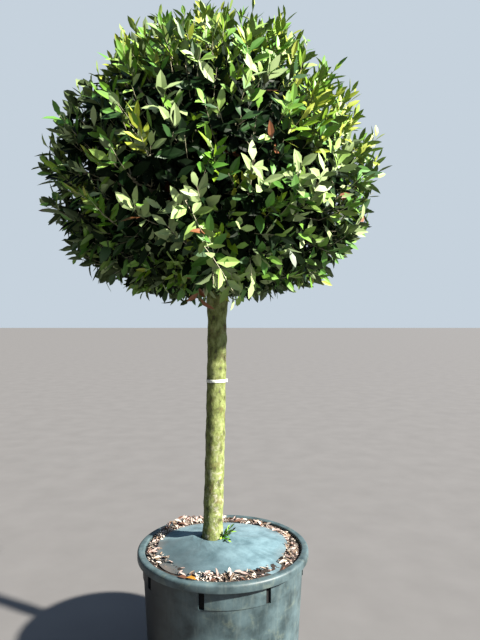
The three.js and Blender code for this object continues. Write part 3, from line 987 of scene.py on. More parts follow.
@dataclass
class Trunk:
    """The clear stem, its bark's relief and the boughs and leaders that leave its head."""

    foot: Array = field(default_factory=lambda: np.array([-0.049, 0.0, 0.5763]))
    head: Array = field(default_factory=lambda: np.array([-0.026, 0.0, 1.792]))
    bow: float = 4 * MM
    sway: float = 3 * MM
    radii: Pair = (44.5 * MM, 42 * MM)
    flare: float = 4 * MM
    flare_height: float = 55 * MM
    swell: float = 7 * MM
    swell_levels: Pair = (1.560, 1.680)
    crest: float = 15 * MM
    crest_level: float = 1.745
    around: int = 96
    rows: int = 380
    lump_depth: float = 1.3 * MM
    grain_depth: float = 0.45 * MM
    limb_grid: tuple[int, int] = (28, 90)
    limb_lump_depth: float = 1.2 * MM
    knots: tuple[tuple[float, float, float, float], ...] = (
        (1.553, -14, 17 * MM, 6 * MM),
        (1.485, 95, 12 * MM, 3 * MM),
        (1.245, -48, 11 * MM, 2.5 * MM),
        (1.090, 42, 13 * MM, 3 * MM),
        (0.905, -20, 12 * MM, 2.5 * MM),
        (0.770, 120, 14 * MM, 3 * MM),
        (1.400, 190, 13 * MM, 3.5 * MM),
        (0.980, 230, 12 * MM, 3 * MM),
        (0.685, 15, 10 * MM, 2 * MM),
    )  # each knot's height, bearing, radius and how far it stands proud

    def axis(self, z: Array) -> Array:
        """The centre line.

        Args:
            z: The heights.

        Returns:
            A point for each height.
        """
        share = (z - self.foot[2]) / (self.head[2] - self.foot[2])
        side = lerp(self.foot[0], self.head[0], share) + self.bow * np.sin(math.pi * share)
        return np.stack([side, self.sway * np.sin(2 * math.pi * share), z], axis=-1)

    def radius(self, z: Array) -> Array:
        """The stem's radius, with its flare, its swelling and its rounded head.

        Args:
            z: The heights.

        Returns:
            The radius at each height.
        """
        share = (z - self.foot[2]) / (self.head[2] - self.foot[2])
        flare = self.flare * (1 - smoothstep(z, self.foot[2], self.foot[2] + self.flare_height))
        swell = self.swell * smoothstep(z, *self.swell_levels)
        crest = self.crest * smoothstep(z, self.crest_level, self.head[2])
        burr = 0.9 * MM * np.sin(z / (23 * MM)) + 0.7 * MM * np.sin(z / (9.7 * MM))
        return lerp(*self.radii, share) + flare + swell - crest + burr

    def knot_relief(self, z: Array, degrees: Array) -> Array:
        """How far healed knots stand proud of the stem.

        Args:
            z: The heights.
            degrees: The bearings.

        Returns:
            The lift at each height and bearing.
        """
        proud = np.zeros_like(z)
        for height, at, size, depth in self.knots:
            across = np.radians(beside(degrees, at)) * self.radii[0]
            away = np.hypot((z - height) / 1.3, across) / size
            proud += depth * np.exp(-(away**2)) - 0.75 * depth * np.exp(-((away / 0.42) ** 2))
        return proud

    def misses(self, points: Array, gap: float, above: float) -> Array:
        """Which points keep clear of the stem.

        Args:
            points: The points, one a row.
            gap: How far from its centre line they have to lie.
            above: How far over its head they may lie anywhere.

        Returns:
            A truth value for each point.
        """
        away = np.linalg.norm((points - self.axis(points[:, 2]))[:, :2], axis=1)
        return (away > gap) | (points[:, 2] > self.head[2] + above)

    def build(self) -> None:
        """Models the stem: a grid wrapped round the centre line, closed and lifted by its relief."""
        piece, turn, share = flat_grid("bark_stem", self.around, self.rows)
        degrees = turn * 360
        z = lerp(self.foot[2], self.head[2], share)
        smooth = self.axis(z) + bearing(degrees) * self.radius(z)[:, None]
        drawn_out = smooth * [1, 1, 0.5]
        lift = self.lump_depth * relief(drawn_out, 60 * MM, 3.1, 2)
        lift += self.grain_depth * relief(drawn_out, 9 * MM, 7.7, 3)
        lift += self.knot_relief(z, degrees)
        ends = smoothstep(share, 0, 0.004) * smoothstep(share, 1, 0.996)
        set_points(piece, smooth + bearing(degrees) * (lift * ends)[:, None])
        close_tube(piece)
        settle(piece, "trunk_bark", "trunk", LichenBark())

    def build_limb(self, limb: Limb) -> None:
        """Models one limb: a grid wrapped round its curve, with lumps where side shoots were cut.

        Args:
            limb: Its curve and thickness.
        """
        piece, turn, share = flat_grid(f"bark_{limb.name}", *self.limb_grid)
        step = 1e-3
        along = unit(limb.points(np.minimum(share + step, 1)) - limb.points(np.maximum(share - step, 0)))
        side = unit(np.cross(along, [0.3, 0.2, 1.0]))
        out = turned_about(along, side, turn * 2 * math.pi)
        place = limb.points(share) + out * lerp(limb.thick, limb.thin, share)[:, None]
        lift = self.limb_lump_depth * relief(place, 35 * MM, len(limb.name), 3)
        set_points(piece, place + out * lift[:, None])
        close_tube(piece)
        settle(piece, "bough_bark", limb.name, BoughBark())


@dataclass
class TrunkTie:
    """The white strap round the stem: a thin band with a small moulded buckle on its right."""

    height: float = 1.295
    width: float = 13 * MM
    gap: float = 1.2 * MM
    thickness: float = 1.3 * MM
    sag: float = 1.1 * MM
    sag_bearing: float = 40
    bulge: float = 0.008
    edge: float = 0.4 * MM
    crease: float = 35
    buckle: tuple[float, float, float] = (6 * MM, 14 * MM, 15 * MM)
    buckle_offset: Pair = (2.5 * MM, 6 * MM)  # of its middle: out from the strap, and backwards
    buckle_edge: float = 1.6 * MM
    window: tuple[float, float, float] = (3 * MM, 7 * MM, 8.25 * MM)

    def build(self, trunk: Trunk) -> None:
        """Models the strap and its buckle.

        Args:
            trunk: The stem that it goes round.
        """
        middle = trunk.axis(np.array(self.height))
        radius = float(trunk.radius(np.array(self.height))) + self.gap
        bpy.ops.object.select_all(action="DESELECT")
        bpy.ops.mesh.primitive_circle_add(vertices=72, radius=radius, fill_type="NOTHING")
        strap = take_primitive("strap")
        with editing(strap):
            for _ in range(3):
                bpy.ops.mesh.extrude_region_move(TRANSFORM_OT_translate={"value": (0, 0, self.width / 3)})
        points = points_of(strap)
        sagging = np.sin(np.radians(bearing_of(points) + self.sag_bearing))
        points[:, 2] += self.height - self.width / 2 + self.sag * sagging
        from_middle = np.abs(points[:, 2] - self.height) / (self.width / 2)
        points[:, :2] *= (1 + self.bulge * (1 - from_middle**2))[:, None]
        points[:, :2] += middle[:2]
        set_points(strap, points)
        apply_modifier(strap, "SOLIDIFY", thickness=self.thickness, offset=1)
        apply_modifier(strap, "BEVEL", width=self.edge, segments=2)
        beyond, back = self.buckle_offset
        place = middle + np.array([radius + beyond, back, 0])
        bpy.ops.mesh.primitive_cube_add(size=1, location=place, scale=self.buckle)
        buckle = take_primitive("buckle")
        with editing(buckle):
            bpy.ops.mesh.bevel(offset=self.buckle_edge, segments=3, affect="EDGES")
        face = place + [self.buckle[0] / 2, 0, 0]
        bpy.ops.mesh.primitive_cube_add(size=1, location=face, scale=self.window)
        window = take_primitive("window")
        apply_modifier(buckle, "BOOLEAN", operation="DIFFERENCE", object=window, solver="EXACT")
        bpy.data.objects.remove(window)
        tie = joined("white_strap_tie", [strap, buckle])
        smooth(tie, self.crease)
        settle(tie, "tie", "trunk_tie", StrapPlastic())


# The pot and what fills it


@dataclass
class NurseryPot:
    """The round moulded container: a tapering wall, a plain band with grip panels, and a rolled rim."""

    height: float = 0.560
    rim: float = 0.380
    base: float = 0.326
    body_top: float = 0.3512
    band: float = 0.353
    band_bottom: float = 0.450
    wall: float = 5 * MM
    floor: float = 7 * MM
    rim_drop: float = 34 * MM
    rim_width: float = 33 * MM
    outer_roll: float = 11 * MM
    inner_roll: float = 8 * MM
    segments: int = 180
    panel_from: float = -12
    panel_to: float = 32
    panel_proud: float = 2.4 * MM
    panels: int = 4
    panel_edge: float = 1.5 * MM
    crease: float = 32
    slot: tuple[float, float, float] = (24 * MM, 30 * MM, 70 * MM)
    drains: int = 8
    drain_radius: float = 14 * MM
    drain_circle: float = 0.250

    def profile(self) -> list[tuple[float, float]]:
        """Draws the section, from the middle of the underside round to the inside.

        Returns:
            Its radii and heights.
        """
        skirt = self.height - self.rim_drop
        inside = self.rim - self.rim_width
        lip = [(math.cos(a), math.sin(a)) for a in np.radians(np.arange(0, 91, 15))]
        roll, inner = self.outer_roll, self.inner_roll
        rolled = [(self.rim - roll + roll * c, self.height - roll + roll * s) for c, s in lip]
        turned_in = [(inside + inner - inner * s, self.height - inner + inner * c) for c, s in lip]
        return [
            (self.base - 20 * MM, 0),
            (self.base - 6 * MM, 0),
            (self.base - 1.5 * MM, 2 * MM),
            (self.base, 7 * MM),
            (lerp(self.base, self.body_top, 0.33), lerp(0, self.band_bottom, 0.33)),
            (lerp(self.base, self.body_top, 0.66), lerp(0, self.band_bottom, 0.66)),
            (self.body_top, self.band_bottom - 4 * MM),
            (self.band - 0.8 * MM, self.band_bottom - 1 * MM),
            (self.band, self.band_bottom + 1 * MM),
            (self.band + 0.7 * MM, skirt - 4 * MM),
            (self.band + 1 * MM, self.height - 10 * MM),
            (self.rim - 7 * MM, self.height - 9 * MM),
            (self.rim - 5.5 * MM, skirt + 3 * MM),
            (self.rim - 4 * MM, skirt),
            (self.rim - 1 * MM, skirt),
            (self.rim, skirt + 3 * MM),
            *rolled,
            *turned_in,
            (inside - 1 * MM, self.height - 14 * MM),
            (self.body_top - self.wall, self.band_bottom),
            (self.base - self.wall, self.floor),
            (self.base - 20 * MM, self.floor),
        ]

    def raise_panels(self, pot: Piece) -> None:
        """Draws the grip panels out of the band: their faces are extruded and pushed outwards.

        Args:
            pot: The turned pot.
        """
        skirt = self.height - self.rim_drop
        mesh = pot.data
        bpy.ops.object.select_all(action="DESELECT")
        bpy.context.view_layer.objects.active = pot
        pot.select_set(True)
        bpy.context.tool_settings.mesh_select_mode = (False, False, True)
        for part in (mesh.vertices, mesh.edges, mesh.polygons):
            part.foreach_set("select", np.zeros(len(part), bool))
        for poly in mesh.polygons:
            centre = poly.center
            turn = (float(bearing_of(np.array(centre))) - self.panel_from) % (360 / self.panels)
            in_panel = turn < self.panel_to - self.panel_from
            outside = poly.normal.xy.dot(centre.xy) > 0 and abs(poly.normal.z) < 0.2
            in_band = self.band_bottom < centre.z < skirt and centre.xy.length < self.band + 2 * MM
            poly.select = in_panel and outside and in_band
        bpy.ops.object.mode_set(mode="EDIT")
        bpy.ops.mesh.extrude_region_shrink_fatten(
            TRANSFORM_OT_shrink_fatten={"value": self.panel_proud * 0.8, "use_even_offset": True}
        )
        bpy.ops.mesh.inset(thickness=self.panel_edge, depth=0.2 * self.panel_proud, use_even_offset=True)
        bpy.ops.object.mode_set(mode="OBJECT")
        bpy.context.tool_settings.mesh_select_mode = (True, False, False)

    def cutters(self) -> Piece:
        """Models the blocks that cut the slots beside the panels and the drain holes in the floor.

        Returns:
            All the blocks as one piece.
        """
        parts = []
        middle = self.band_bottom - 2 * MM + self.slot[2] / 2
        for i in range(self.panels):
            for end in (self.panel_from, self.panel_to):
                degrees = i * 360 / self.panels + end
                place = Vector(bearing(degrees) * self.band)
                place.z = middle
                bpy.ops.mesh.primitive_cube_add(
                    size=1, location=place, rotation=(0, 0, math.radians(degrees)), scale=self.slot
                )
                block = take_primitive("slot_block")
                with editing(block):
                    bpy.ops.mesh.bevel(offset=1.2 * MM, segments=2, affect="EDGES")
                parts.append(block)
        for i in range(self.drains):
            place = Vector(bearing((i + 0.5) * 360 / self.drains) * self.drain_circle)
            bpy.ops.mesh.primitive_cylinder_add(
                vertices=32, radius=self.drain_radius, depth=4 * self.floor, location=place
            )
            parts.append(take_primitive("drain_block"))
        return joined("pot_cutters", parts)

    def build(self) -> None:
        """Models the pot: a ring extruded along the section, with its panels, slots and drains."""
        profile = self.profile()
        radius, level = profile[0]
        bpy.ops.object.select_all(action="DESELECT")
        bpy.ops.mesh.primitive_circle_add(
            vertices=self.segments, radius=radius, fill_type="NOTHING", location=(0, 0, level)
        )
        pot = take_primitive("moulded_pot")
        with editing(pot):
            for wider, higher in profile[1:]:
                bpy.ops.mesh.extrude_region_move(TRANSFORM_OT_translate={"value": (0, 0, higher - level)})
                ratio = wider / radius
                bpy.ops.transform.resize(value=(ratio, ratio, 1), center_override=(0, 0, higher))
                radius, level = wider, higher
            bpy.ops.mesh.select_all(action="SELECT")
            bpy.ops.mesh.fill_holes(sides=0)
            bpy.ops.mesh.normals_make_consistent(inside=False)
        self.raise_panels(pot)
        cutters = self.cutters()
        apply_modifier(pot, "BOOLEAN", operation="DIFFERENCE", object=cutters, solver="EXACT")
        bpy.data.objects.remove(cutters)
        smooth(pot, self.crease)
        settle(pot, "pot", "pot", MouldedPolyethylene())


@dataclass
class WeedMat:
    """The felt disc over the soil: slit from its edge to the stem, with the front flap over the back."""

    peak: float = 0.594
    radius: float = 0.281
    hole: float = 0.052
    thickness: float = 3.5 * MM
    slope: float = 0.115
    ridge: float = 0.055
    ripple: float = 2.5 * MM
    lobes: tuple[tuple[float, float, float], ...] = (
        (-38, 46 * MM, 36),
        (41, 54 * MM, 17),
    )  # each lobe's bearing, reach and width in degrees
    scallops: int = 5
    scallop_depth: float = 0.012
    crease: float = 50
    soiled_bearing: float = -52
    soiled_width: float = 25
    soiled: Pair = (0.22, 0.4)  # all round, and what is added at the soiled bearing
    washed: Pair = (0.8, 1.02)  # the shares of the radius between which soil fades in
    washed_most: float = 1.2
    damp_left: Pair = (-0.27, 0.16)  # from where the darkening fades out towards the right, and to where
    damp_front: Pair = (-0.02, 0.03)  # and where it sets in towards the front
    damp_most: float = 0.8
    lump_depth: float = 1.5 * MM
    wrinkle_bearing: float = 62
    wrinkle_spread: float = 13
    wrinkles: float = 52
    wrinkle_depth: float = 3.2 * MM
    slit_bearing: float = 270
    overlap: float = 9
    flap_over: float = 38
    flap_under: float = 40
    flap_lift: float = 11 * MM
    flap_drop: float = 6 * MM
    rings: int = 44
    around: int = 420
    trunk_side: float = -0.049

    def level(self, radius: Array, degrees: Array) -> Array:
        """The height of the felt's upper face.

        Args:
            radius: How far out.
            degrees: The bearings.

        Returns:
            The height at each radius and bearing.
        """
        angle = np.radians(degrees - 90)
        across = np.abs(radius * np.sin(angle))
        ripple = self.ripple * np.sin(3 * angle + 0.6) * smoothstep(radius, 0.09, self.radius)
        return self.peak - self.slope * (radius - 0.056) - self.ridge * across + ripple

    def build(self) -> None:
        """Models the felt: a grid bent round into a ring that overlaps itself, then given thickness."""
        piece, across, out = flat_grid("felt_weed_mat", self.around, self.rings)
        whole = 360 + self.overlap
        turn = (across + 0.5) * whole
        degrees = self.slit_bearing + turn
        radius = lerp(self.hole, self.radius, out)
        radius = radius * (1 + self.scallop_depth * np.sin(np.radians(self.scallops * degrees)) * out)
        for toward, reach, width in self.lobes:
            radius += reach * near(degrees, toward, width) * smoothstep(out, 0.4, 1)
        level = self.level(radius, degrees)
        over = 1 - smoothstep(turn, 0, self.flap_over)
        under = smoothstep(turn, whole - self.flap_under, whole)
        level += self.flap_lift * over * smoothstep(out, 0.0, 0.25) - self.flap_drop * under
        wrinkled = near(degrees, self.wrinkle_bearing, self.wrinkle_spread) * smoothstep(out, 0.4, 0.9)
        phase = beside(degrees, self.wrinkle_bearing) * self.wrinkles
        level += self.wrinkle_depth * wrinkled * np.sin(np.radians(phase))
        ring = np.stack([radius, np.radians(degrees) * 0.25, out * 0.1], axis=-1)
        level += self.lump_depth * relief(ring, 0.07, 1.7, 3)
        points = bearing(degrees) * radius[:, None]
        points[:, 0] += self.trunk_side * (1 - smoothstep(radius, 0.056, 0.175))
        points[:, 2] = level
        set_points(piece, points)
        all_round, added = self.soiled
        soiled = all_round + added * near(degrees, self.soiled_bearing, self.soiled_width)
        edge = smoothstep(out + 0.05 * np.sin(np.radians(7 * degrees)), *self.washed)
        set_attribute(piece, "washed", self.washed_most * edge * soiled)
        left = 1 - smoothstep(points[:, 0] + 0.25 * points[:, 1], *self.damp_left)
        front = smoothstep(-points[:, 1], *self.damp_front)
        set_attribute(piece, "damp", self.damp_most * left * front)
        apply_modifier(piece, "SOLIDIFY", thickness=self.thickness, offset=-1)
        smooth(piece, self.crease)
        settle(piece, "weed_mat", "weed_mat", NeedledFelt())


class Litter(Enum):
    """The tints of dry bark and dead leaves in the ring round the mat."""

    CREAM = "#cdc3b5"
    PINK_TAN = "#a5928a"
    TAN = "#756453"
    RUSSET = "#5a3c2d"
    GREY = "#65605a"
    DARK = "#211914"
    AMBER = "#a8761f"


@dataclass
class MulchRing:
    """The loose bark chips and dead leaves between the mat and the pot's wall, on dark compost."""

    inner: float = 0.2865
    outer: float = 0.344
    inner_level: float = 0.552
    outer_level: float = 0.540
    chips: int = 3100
    chip_heap: float = 9 * MM
    chip_sizes: tuple[Pair, ...] = ((5, 19), (2, 6.5), (0.6, 2.2))  # in millimetres
    dead_leaves: int = 700
    leaf_heap: float = 14 * MM
    leaf_lengths: Pair = (18, 48)  # in millimetres
    leaf_slimness: Pair = (0.22, 0.42)
    rim_leaves: tuple[tuple[float, ...], ...] = (
        (-0.170, -0.316, 0.563, 0.95, -0.28, 0.02),
        (-0.136, -0.327, 0.564, 0.9, -0.35, 0.10),
    )  # the stalk of each leaf that lies against the rim, and the direction that it lies in
    rim_leaf: tuple[float, ...] = (48 * MM, 17 * MM, 0.7, 0.1, 0.4)  # length, width, fold, arch, twist
    bare_bearings: tuple[float, ...] = (322, 42)
    bare_width: float = 18
    bare_share: float = 0.93
    heap_bearing: float = 228
    heap_spread: float = 22
    heap_width: float = 32
    heap_rise: float = 2.4
    bleached_left_of: float = -0.05
    bleached_share: float = 0.4
    chip_tints: tuple[tuple[Litter, float], ...] = (
        (Litter.CREAM, 0.2),
        (Litter.PINK_TAN, 0.28),
        (Litter.TAN, 0.22),
        (Litter.RUSSET, 0.11),
        (Litter.GREY, 0.12),
        (Litter.DARK, 0.07),
    )
    leaf_tints: tuple[tuple[Litter, float], ...] = (
        (Litter.CREAM, 0.26),
        (Litter.PINK_TAN, 0.3),
        (Litter.TAN, 0.2),
        (Litter.RUSSET, 0.14),
        (Litter.GREY, 0.1),
        (Litter.AMBER, 0),
    )  # each tint's share, where amber is kept for a leaf on the rim
    seed: int = 77

    def level(self, radius: Array) -> Array:
        """The height of the bed at radii."""
        return lerp(self.inner_level, self.outer_level, (radius - self.inner) / (self.outer - self.inner))

    def build_bed(self) -> None:
        """Models the bed: a ring of compost with a rough face."""
        piece, turn, out = flat_grid("mulch_bed", 360, 14)
        radius = lerp(self.inner - 3 * MM, self.outer, out)
        points = bearing(turn * 360) * radius[:, None]
        points[:, 2] = self.level(radius) - 3 * MM
        points[:, 2] += 3 * MM * relief(points, 22 * MM, 5.2, 3)
        set_points(piece, points)
        with editing(piece):
            bpy.ops.mesh.remove_doubles(threshold=SEAM)
        apply_modifier(piece, "SOLIDIFY", thickness=9 * MM, offset=-1)
        piece.data.shade_smooth()
        settle(piece, "mulch", "mulch", DampCompost())

    def scatter(self, rng: Draws, count: int, heap: float) -> tuple[Array, Array]:
        """Deals out places in the ring.

        Args:
            rng: The seeded draws.
            count: How many places.
            heap: How high the layer is heaped.

        Returns:
            The places, and three directions for each that lie at random but mostly flat.
        """
        radius = rng.uniform(self.inner - 6 * MM, self.outer - 6 * MM, count)
        degrees = rng.uniform(0, 360, count)
        thin = sum(near(degrees, bare, self.bare_width, 4) for bare in self.bare_bearings)
        moved = rng.uniform(0, 1, count) < self.bare_share * thin
        degrees = np.where(moved, self.heap_bearing + rng.normal(0, self.heap_spread, count), degrees)
        heaped = near(degrees, self.heap_bearing, self.heap_width)
        place = bearing(degrees) * radius[:, None]
        place[:, 2] = self.level(radius) + rng.uniform(0, heap, count) * (1 + self.heap_rise * heaped)
        heading = bearing(rng.uniform(0, 360, count))
        heading[:, 2] = rng.normal(0, 0.28, count)
        heading = unit(heading)
        up = unit(np.stack([rng.normal(0, 0.3, count), rng.normal(0, 0.3, count), np.ones(count)], axis=-1))
        side = unit(np.cross(up, heading))
        return place, np.stack([heading, side, np.cross(heading, side)], axis=1)

    def build_chips(self) -> None:
        """Makes the bark chips: small split slabs with uneven ends, each of its own size and tint."""
        rng = np.random.default_rng(self.seed)
        place, turn = self.scatter(rng, self.chips, self.chip_heap)
        size = np.stack([rng.uniform(*limits, self.chips) * MM for limits in self.chip_sizes], axis=-1)
        corners = np.array([(x, y, z) for x in (-1, 1) for y in (-1, 1) for z in (-1, 1)], float)
        uneven = rng.uniform(0.35, 1.1, (self.chips, len(corners), 3))
        local = corners[None] * uneven * size[:, None] * 0.5
        points = place[:, None] + np.einsum("npk,nkj->npj", local, turn)
        quads = [(0, 1, 3, 2), (4, 6, 7, 5), (0, 4, 5, 1), (2, 3, 7, 6), (0, 2, 6, 4), (1, 5, 7, 3)]
        faces = np.array([t for a, b, c, d in quads for t in ((a, b, c), (a, c, d))])
        tints, shares = zip(*self.chip_tints)
        dealt = rng.choice(len(tints), self.chips, p=shares)
        bleached = rng.uniform(0, 1, self.chips) < self.bleached_share
        bleached &= place[:, 0] < self.bleached_left_of
        dealt = np.where(bleached, tints.index(Litter.CREAM), dealt)
        arrays = MeshArrays()
        arrays.add(points, faces, np.repeat(dealt[:, None], len(faces), 1), np.ones(len(corners), int))
        finishes = [LitterFinish(f"bark_chip_{t.name.lower()}", colour=t.value) for t in tints]
        settle(arrays.piece("bark_chips"), "mulch", "mulch", *finishes)

    def build_dead_leaves(self) -> None:
        """Makes the fallen leaves: curled bay leaves and scraps of them, lying on the chips."""
        rng = np.random.default_rng(self.seed + 1)
        count = self.dead_leaves
        place, turn = self.scatter(rng, count, self.leaf_heap)
        length = rng.uniform(*self.leaf_lengths, count) * MM
        start = place - turn[:, 0] * (length / 2)[:, None]
        inside = np.linalg.norm(start[:, :2], axis=1) < self.outer - 8 * MM
        leaves = Leaves(
            base=start,
            along=turn[:, 0],
            above=turn[:, 2],
            length=length,
            width=length * rng.uniform(*self.leaf_slimness, count),
            fold=rng.uniform(0.3, 1.5, count),
            arch=rng.uniform(-0.4, 0.4, count),
            twist=rng.normal(0, 0.5, count),
            shoot=np.arange(count),
        )
        ends = np.linalg.norm(leaves.tips()[:, :2], axis=1)
        leaves = leaves.kept(inside & (ends < self.outer - 2 * MM) & (ends > self.inner - 25 * MM))
        tints, shares = zip(*self.leaf_tints)
        dealt = rng.choice(len(tints), len(leaves.length), p=shares)
        arrays = MeshArrays()
        add_leaves(arrays, leaves, dealt, dealt)
        lying = np.array(self.rim_leaves)
        along = unit(lying[:, 3:])
        above = square_to(np.array([0.0, 0.0, 1.0]), along)
        shape = [np.full(len(lying), value) for value in (*self.rim_leaf, 0)]
        rim_tints = np.array([tints.index(Litter.RUSSET), tints.index(Litter.AMBER)])
        add_leaves(arrays, Leaves(lying[:, :3], along, above, *shape), rim_tints, rim_tints)
        finishes = [LitterFinish(f"fallen_leaf_{t.name.lower()}", colour=t.value) for t in tints]
        settle(arrays.piece("fallen_leaves"), "mulch", "mulch", *finishes)

    def build(self) -> None:
        """Builds the bed, the chips and the fallen leaves."""
        self.build_bed()
        self.build_chips()
        self.build_dead_leaves()


# The crown


class LeafKind(Enum):
    """The kinds of leaf on the tree, each kept in pieces of its own."""

    MATURE = "leaves"
    YOUNG = "young_leaves"


BOUGHS, LEADERS = 6, 3
SIDE_SECTOR, CAP_SECTOR = 360 / BOUGHS, 360 / LEADERS
SHADE_TINTS = ("#071505", "#0f210c")  # painted shade: the tints of leaves deep in the crown, where shade falls
SUNLIT_TINTS = ("#27491c", "#4b7c28", "#6a9635", "#80a04a", "#93a86f")
DEAD_TINT = "#7a4a2a"
UPPER_TINTS = {
    LeafKind.MATURE: (*SHADE_TINTS, *SUNLIT_TINTS, DEAD_TINT),
    LeafKind.YOUNG: ("#568413", "#75981a", "#929f30"),
}
UNDER_TINTS = {
    LeafKind.MATURE: ("#4f603e", "#61724c"),
    LeafKind.YOUNG: ("#6d8340",),
}
DULL_IOR = 1.15  # for the leaves painted dark as shade, whose gloss is turned down too
SUNLIT_CHANCES = (0.32, 0.20, 0.17, 0.18, 0.13)
SHADED = len(SHADE_TINTS)
DEAD = SHADED + len(SUNLIT_TINTS)
DEAD_CHANCE = 0.006
INNER, HANGING = 1, 3  # the second and the fourth of the layers of shoots


@dataclass(frozen=True)
class Layer:
    """A layer of shoots in the crown: how many, how far out they end, and how they are leaved."""

    count: int
    shares: Pair
    lengths: Pair
    leaves: int
    upright: float
    young: float


@dataclass(frozen=True)
class Mass:
    """One of the crown's masses of foliage, with the limb that carries it."""

    node: str
    limb: Limb
    cap: bool
    middle: float  # the bearing of its middle


@dataclass
class Shoots(Rows):
    """Many leafy shoots, one a row: each is a curve from a twig to its tip."""

    start: Array
    knee: Array
    tip: Array
    young: Array
    layer: Array


@dataclass
class Crown:
    """The clipped ball: nine masses of twigs and leaves that grow on from the boughs and leaders."""

    trunk: Trunk
    centre: Array = field(default_factory=lambda: np.array([-0.048, 0.0, 2.226]))
    radius: float = 0.748
    rise: float = 0.695
    drop: float = 0.578
    roundness: Pair = (2.6, 1.85)
    wobble: float = 0.018
    cap_split: float = 2.484
    seed: int = 20417
    layers: tuple[Layer, ...] = (
        Layer(count=880, shares=(0.93, 0.99), lengths=(0.09, 0.16), leaves=9, upright=0.55, young=0.44),
        Layer(count=900, shares=(0.68, 0.80), lengths=(0.08, 0.13), leaves=8, upright=0.3, young=0.0),
        Layer(count=190, shares=(1.0, 1.05), lengths=(0.12, 0.19), leaves=9, upright=1.1, young=0.8),
    )  # the outer layer, the inner one and the top shoots
    hanging: tuple[tuple[float, ...], ...] = (
        (0.030, -0.360, 1.808, 0.050, -0.470, 1.650),
        (0.062, -0.280, 1.815, 0.075, -0.360, 1.655),
        (-0.088, -0.250, 1.796, -0.088, -0.300, 1.636),
        (-0.020, -0.400, 1.845, -0.020, -0.500, 1.685),
        (0.105, -0.380, 1.850, 0.120, -0.470, 1.690),
        (-0.111, -0.640, 1.950, -0.030, -0.630, 1.800),
        (-0.045, -0.600, 1.820, 0.048, -0.560, 1.665),
    )  # the foot and the tip of each shoot that hangs in front of the fork
    hanging_tints: tuple[int, ...] = (5, 5, DEAD, 5, 6, 5, 5)
    hanging_leaves: int = 8
    fork_rows: tuple[tuple[float, ...], ...] = (
        (90, 0.42, 0.54),
        (460, 0.60, 0.70),
    )  # how many places branches divide at, and the shares of the reach between which they lie
    leaf_lengths: Pair = (72 * MM, 100 * MM)
    leaf_slimness: Pair = (0.33, 0.43)
    leaf_leans: Pair = (80, 38)
    lean_spread: float = 12
    young_lean: float = 18
    young_sizes: Pair = (0.84, 0.82)  # of a young leaf beside an old one: its length and its slimness
    leaf_folds: Pair = (0.05, 0.45)
    leaf_arches: Pair = (0.07, 0.10)  # the middle and the spread
    leaf_twists: Pair = (0, 0.28)  # the middle and the spread
    shoot_gap: Pair = (0.085, 0.1)  # what the shoots' tips keep from the stem's middle and over its head
    leaf_gap: Pair = (0.062, 0.02)  # the same for the leaves' tips
    fork_gap: Pair = (0.12, 0.1)  # the same for the forks
    branch_sizes: tuple[tuple[float, float, int], ...] = (
        (6.5 * MM, 4.2 * MM, 7),
        (4.2 * MM, 2.6 * MM, 5),
        (2.5 * MM, 1.7 * MM, 3),
    )  # how thick branches, twigs and the finest twigs start and end, and how many sides they have
    shoot_radii: Pair = (1.7 * MM, 0.9 * MM)
    stem_rises: Pair = (-0.25, 1.25)
    stem_share: float = 0.8
    furthest: float = 1.05
    hanging_further: float = 0.2
    overreach: float = 8 * MM
    bough_foot: float = 1.668
    bough_step: float = 36 * MM
    bough_reach: Pair = (0.320, 0.345)
    bough_tips: Pair = (1.968, 2.000)
    bough_radii: Pair = (20 * MM, 13 * MM)
    leader_foot: float = 1.768
    leader_reach: float = 0.205
    leader_radii: Pair = (17 * MM, 10.5 * MM)
    # thresholds of the sunny value, where the painted light on the leaves' tints changes
    shady_growth: float = 0.7
    lush_growth: float = 0.9
    lump_depth: float = 0.12
    lump_size: float = 0.30
    hollows: tuple[tuple[float, float, float, float], ...] = (
        (78, 34, 17, 0.05),
        (-80, 42, 20, 0.07),
        (-50, 18, 14, 0.05),
        (30, -20, 13, 0.05),
        (200, 30, 20, 0.06),
        (130, -5, 16, 0.05),
    )  # each hollow's bearing, elevation, width in degrees and depth as a share of the reach

    def __post_init__(self) -> None:
        """Starts the seeded draws."""
        self.rng = np.random.default_rng(self.seed)

    def reach(self, direction: Array) -> Array:
        """How far the outline reaches from the centre.

        Args:
            direction: The directions, one a row.

        Returns:
            The reach in each direction.
        """
        above = direction[..., 2] > 0
        level = np.hypot(direction[..., 0], direction[..., 1])
        upright = np.abs(direction[..., 2]) / np.where(above, self.rise, self.drop)
        power = np.where(above, self.roundness[1], self.roundness[0])
        angle = np.arctan2(direction[..., 1], direction[..., 0])
        lobes = 1 + self.wobble * level * np.sin(3 * angle + 1) * np.cos(2 * direction[..., 2])
        return lobes / ((level / self.radius) ** power + upright**power) ** (1 / power)

    def share(self, points: Array) -> Array:
        """Where points lie between the centre, 0, and the outline, 1."""
        away = points - self.centre
        return np.linalg.norm(away, axis=-1) / self.reach(unit(away))

    def dip(self, direction: Array) -> Array:
        """How far the foliage falls short of its reach: it is lumpy, with a few hollows.

        Args:
            direction: The directions, one a row.

        Returns:
            The share of the reach that is missing in each direction.
        """
        lumps = 0.5 + 0.5 * relief(direction, self.lump_size, 4.4, 3)
        fallen = self.lump_depth * np.clip(lumps, 0, 1)
        for degrees, elevation, width, depth in self.hollows:
            rise = math.radians(elevation)
            middle = bearing(degrees) * math.cos(rise) + [0, 0, math.sin(rise)]
            away = np.degrees(np.arccos(np.clip(direction @ middle, -1, 1)))
            fallen += depth * np.exp(-((away / width) ** 2))
        return fallen

    def sunny(self, direction: Array) -> Array:
        """How sunny directions are, from 0.3: most at the top and on the right, where the key light falls;
        it sets the new growth and the painted light on leaves.
        """
        right = smoothstep(direction[:, 0], 0.2, 0.9) * smoothstep(direction[:, 2], -0.5, 0.3)
        return 0.3 + 1.6 * smoothstep(direction[:, 2], 0.1, 0.9) + 1.2 * right

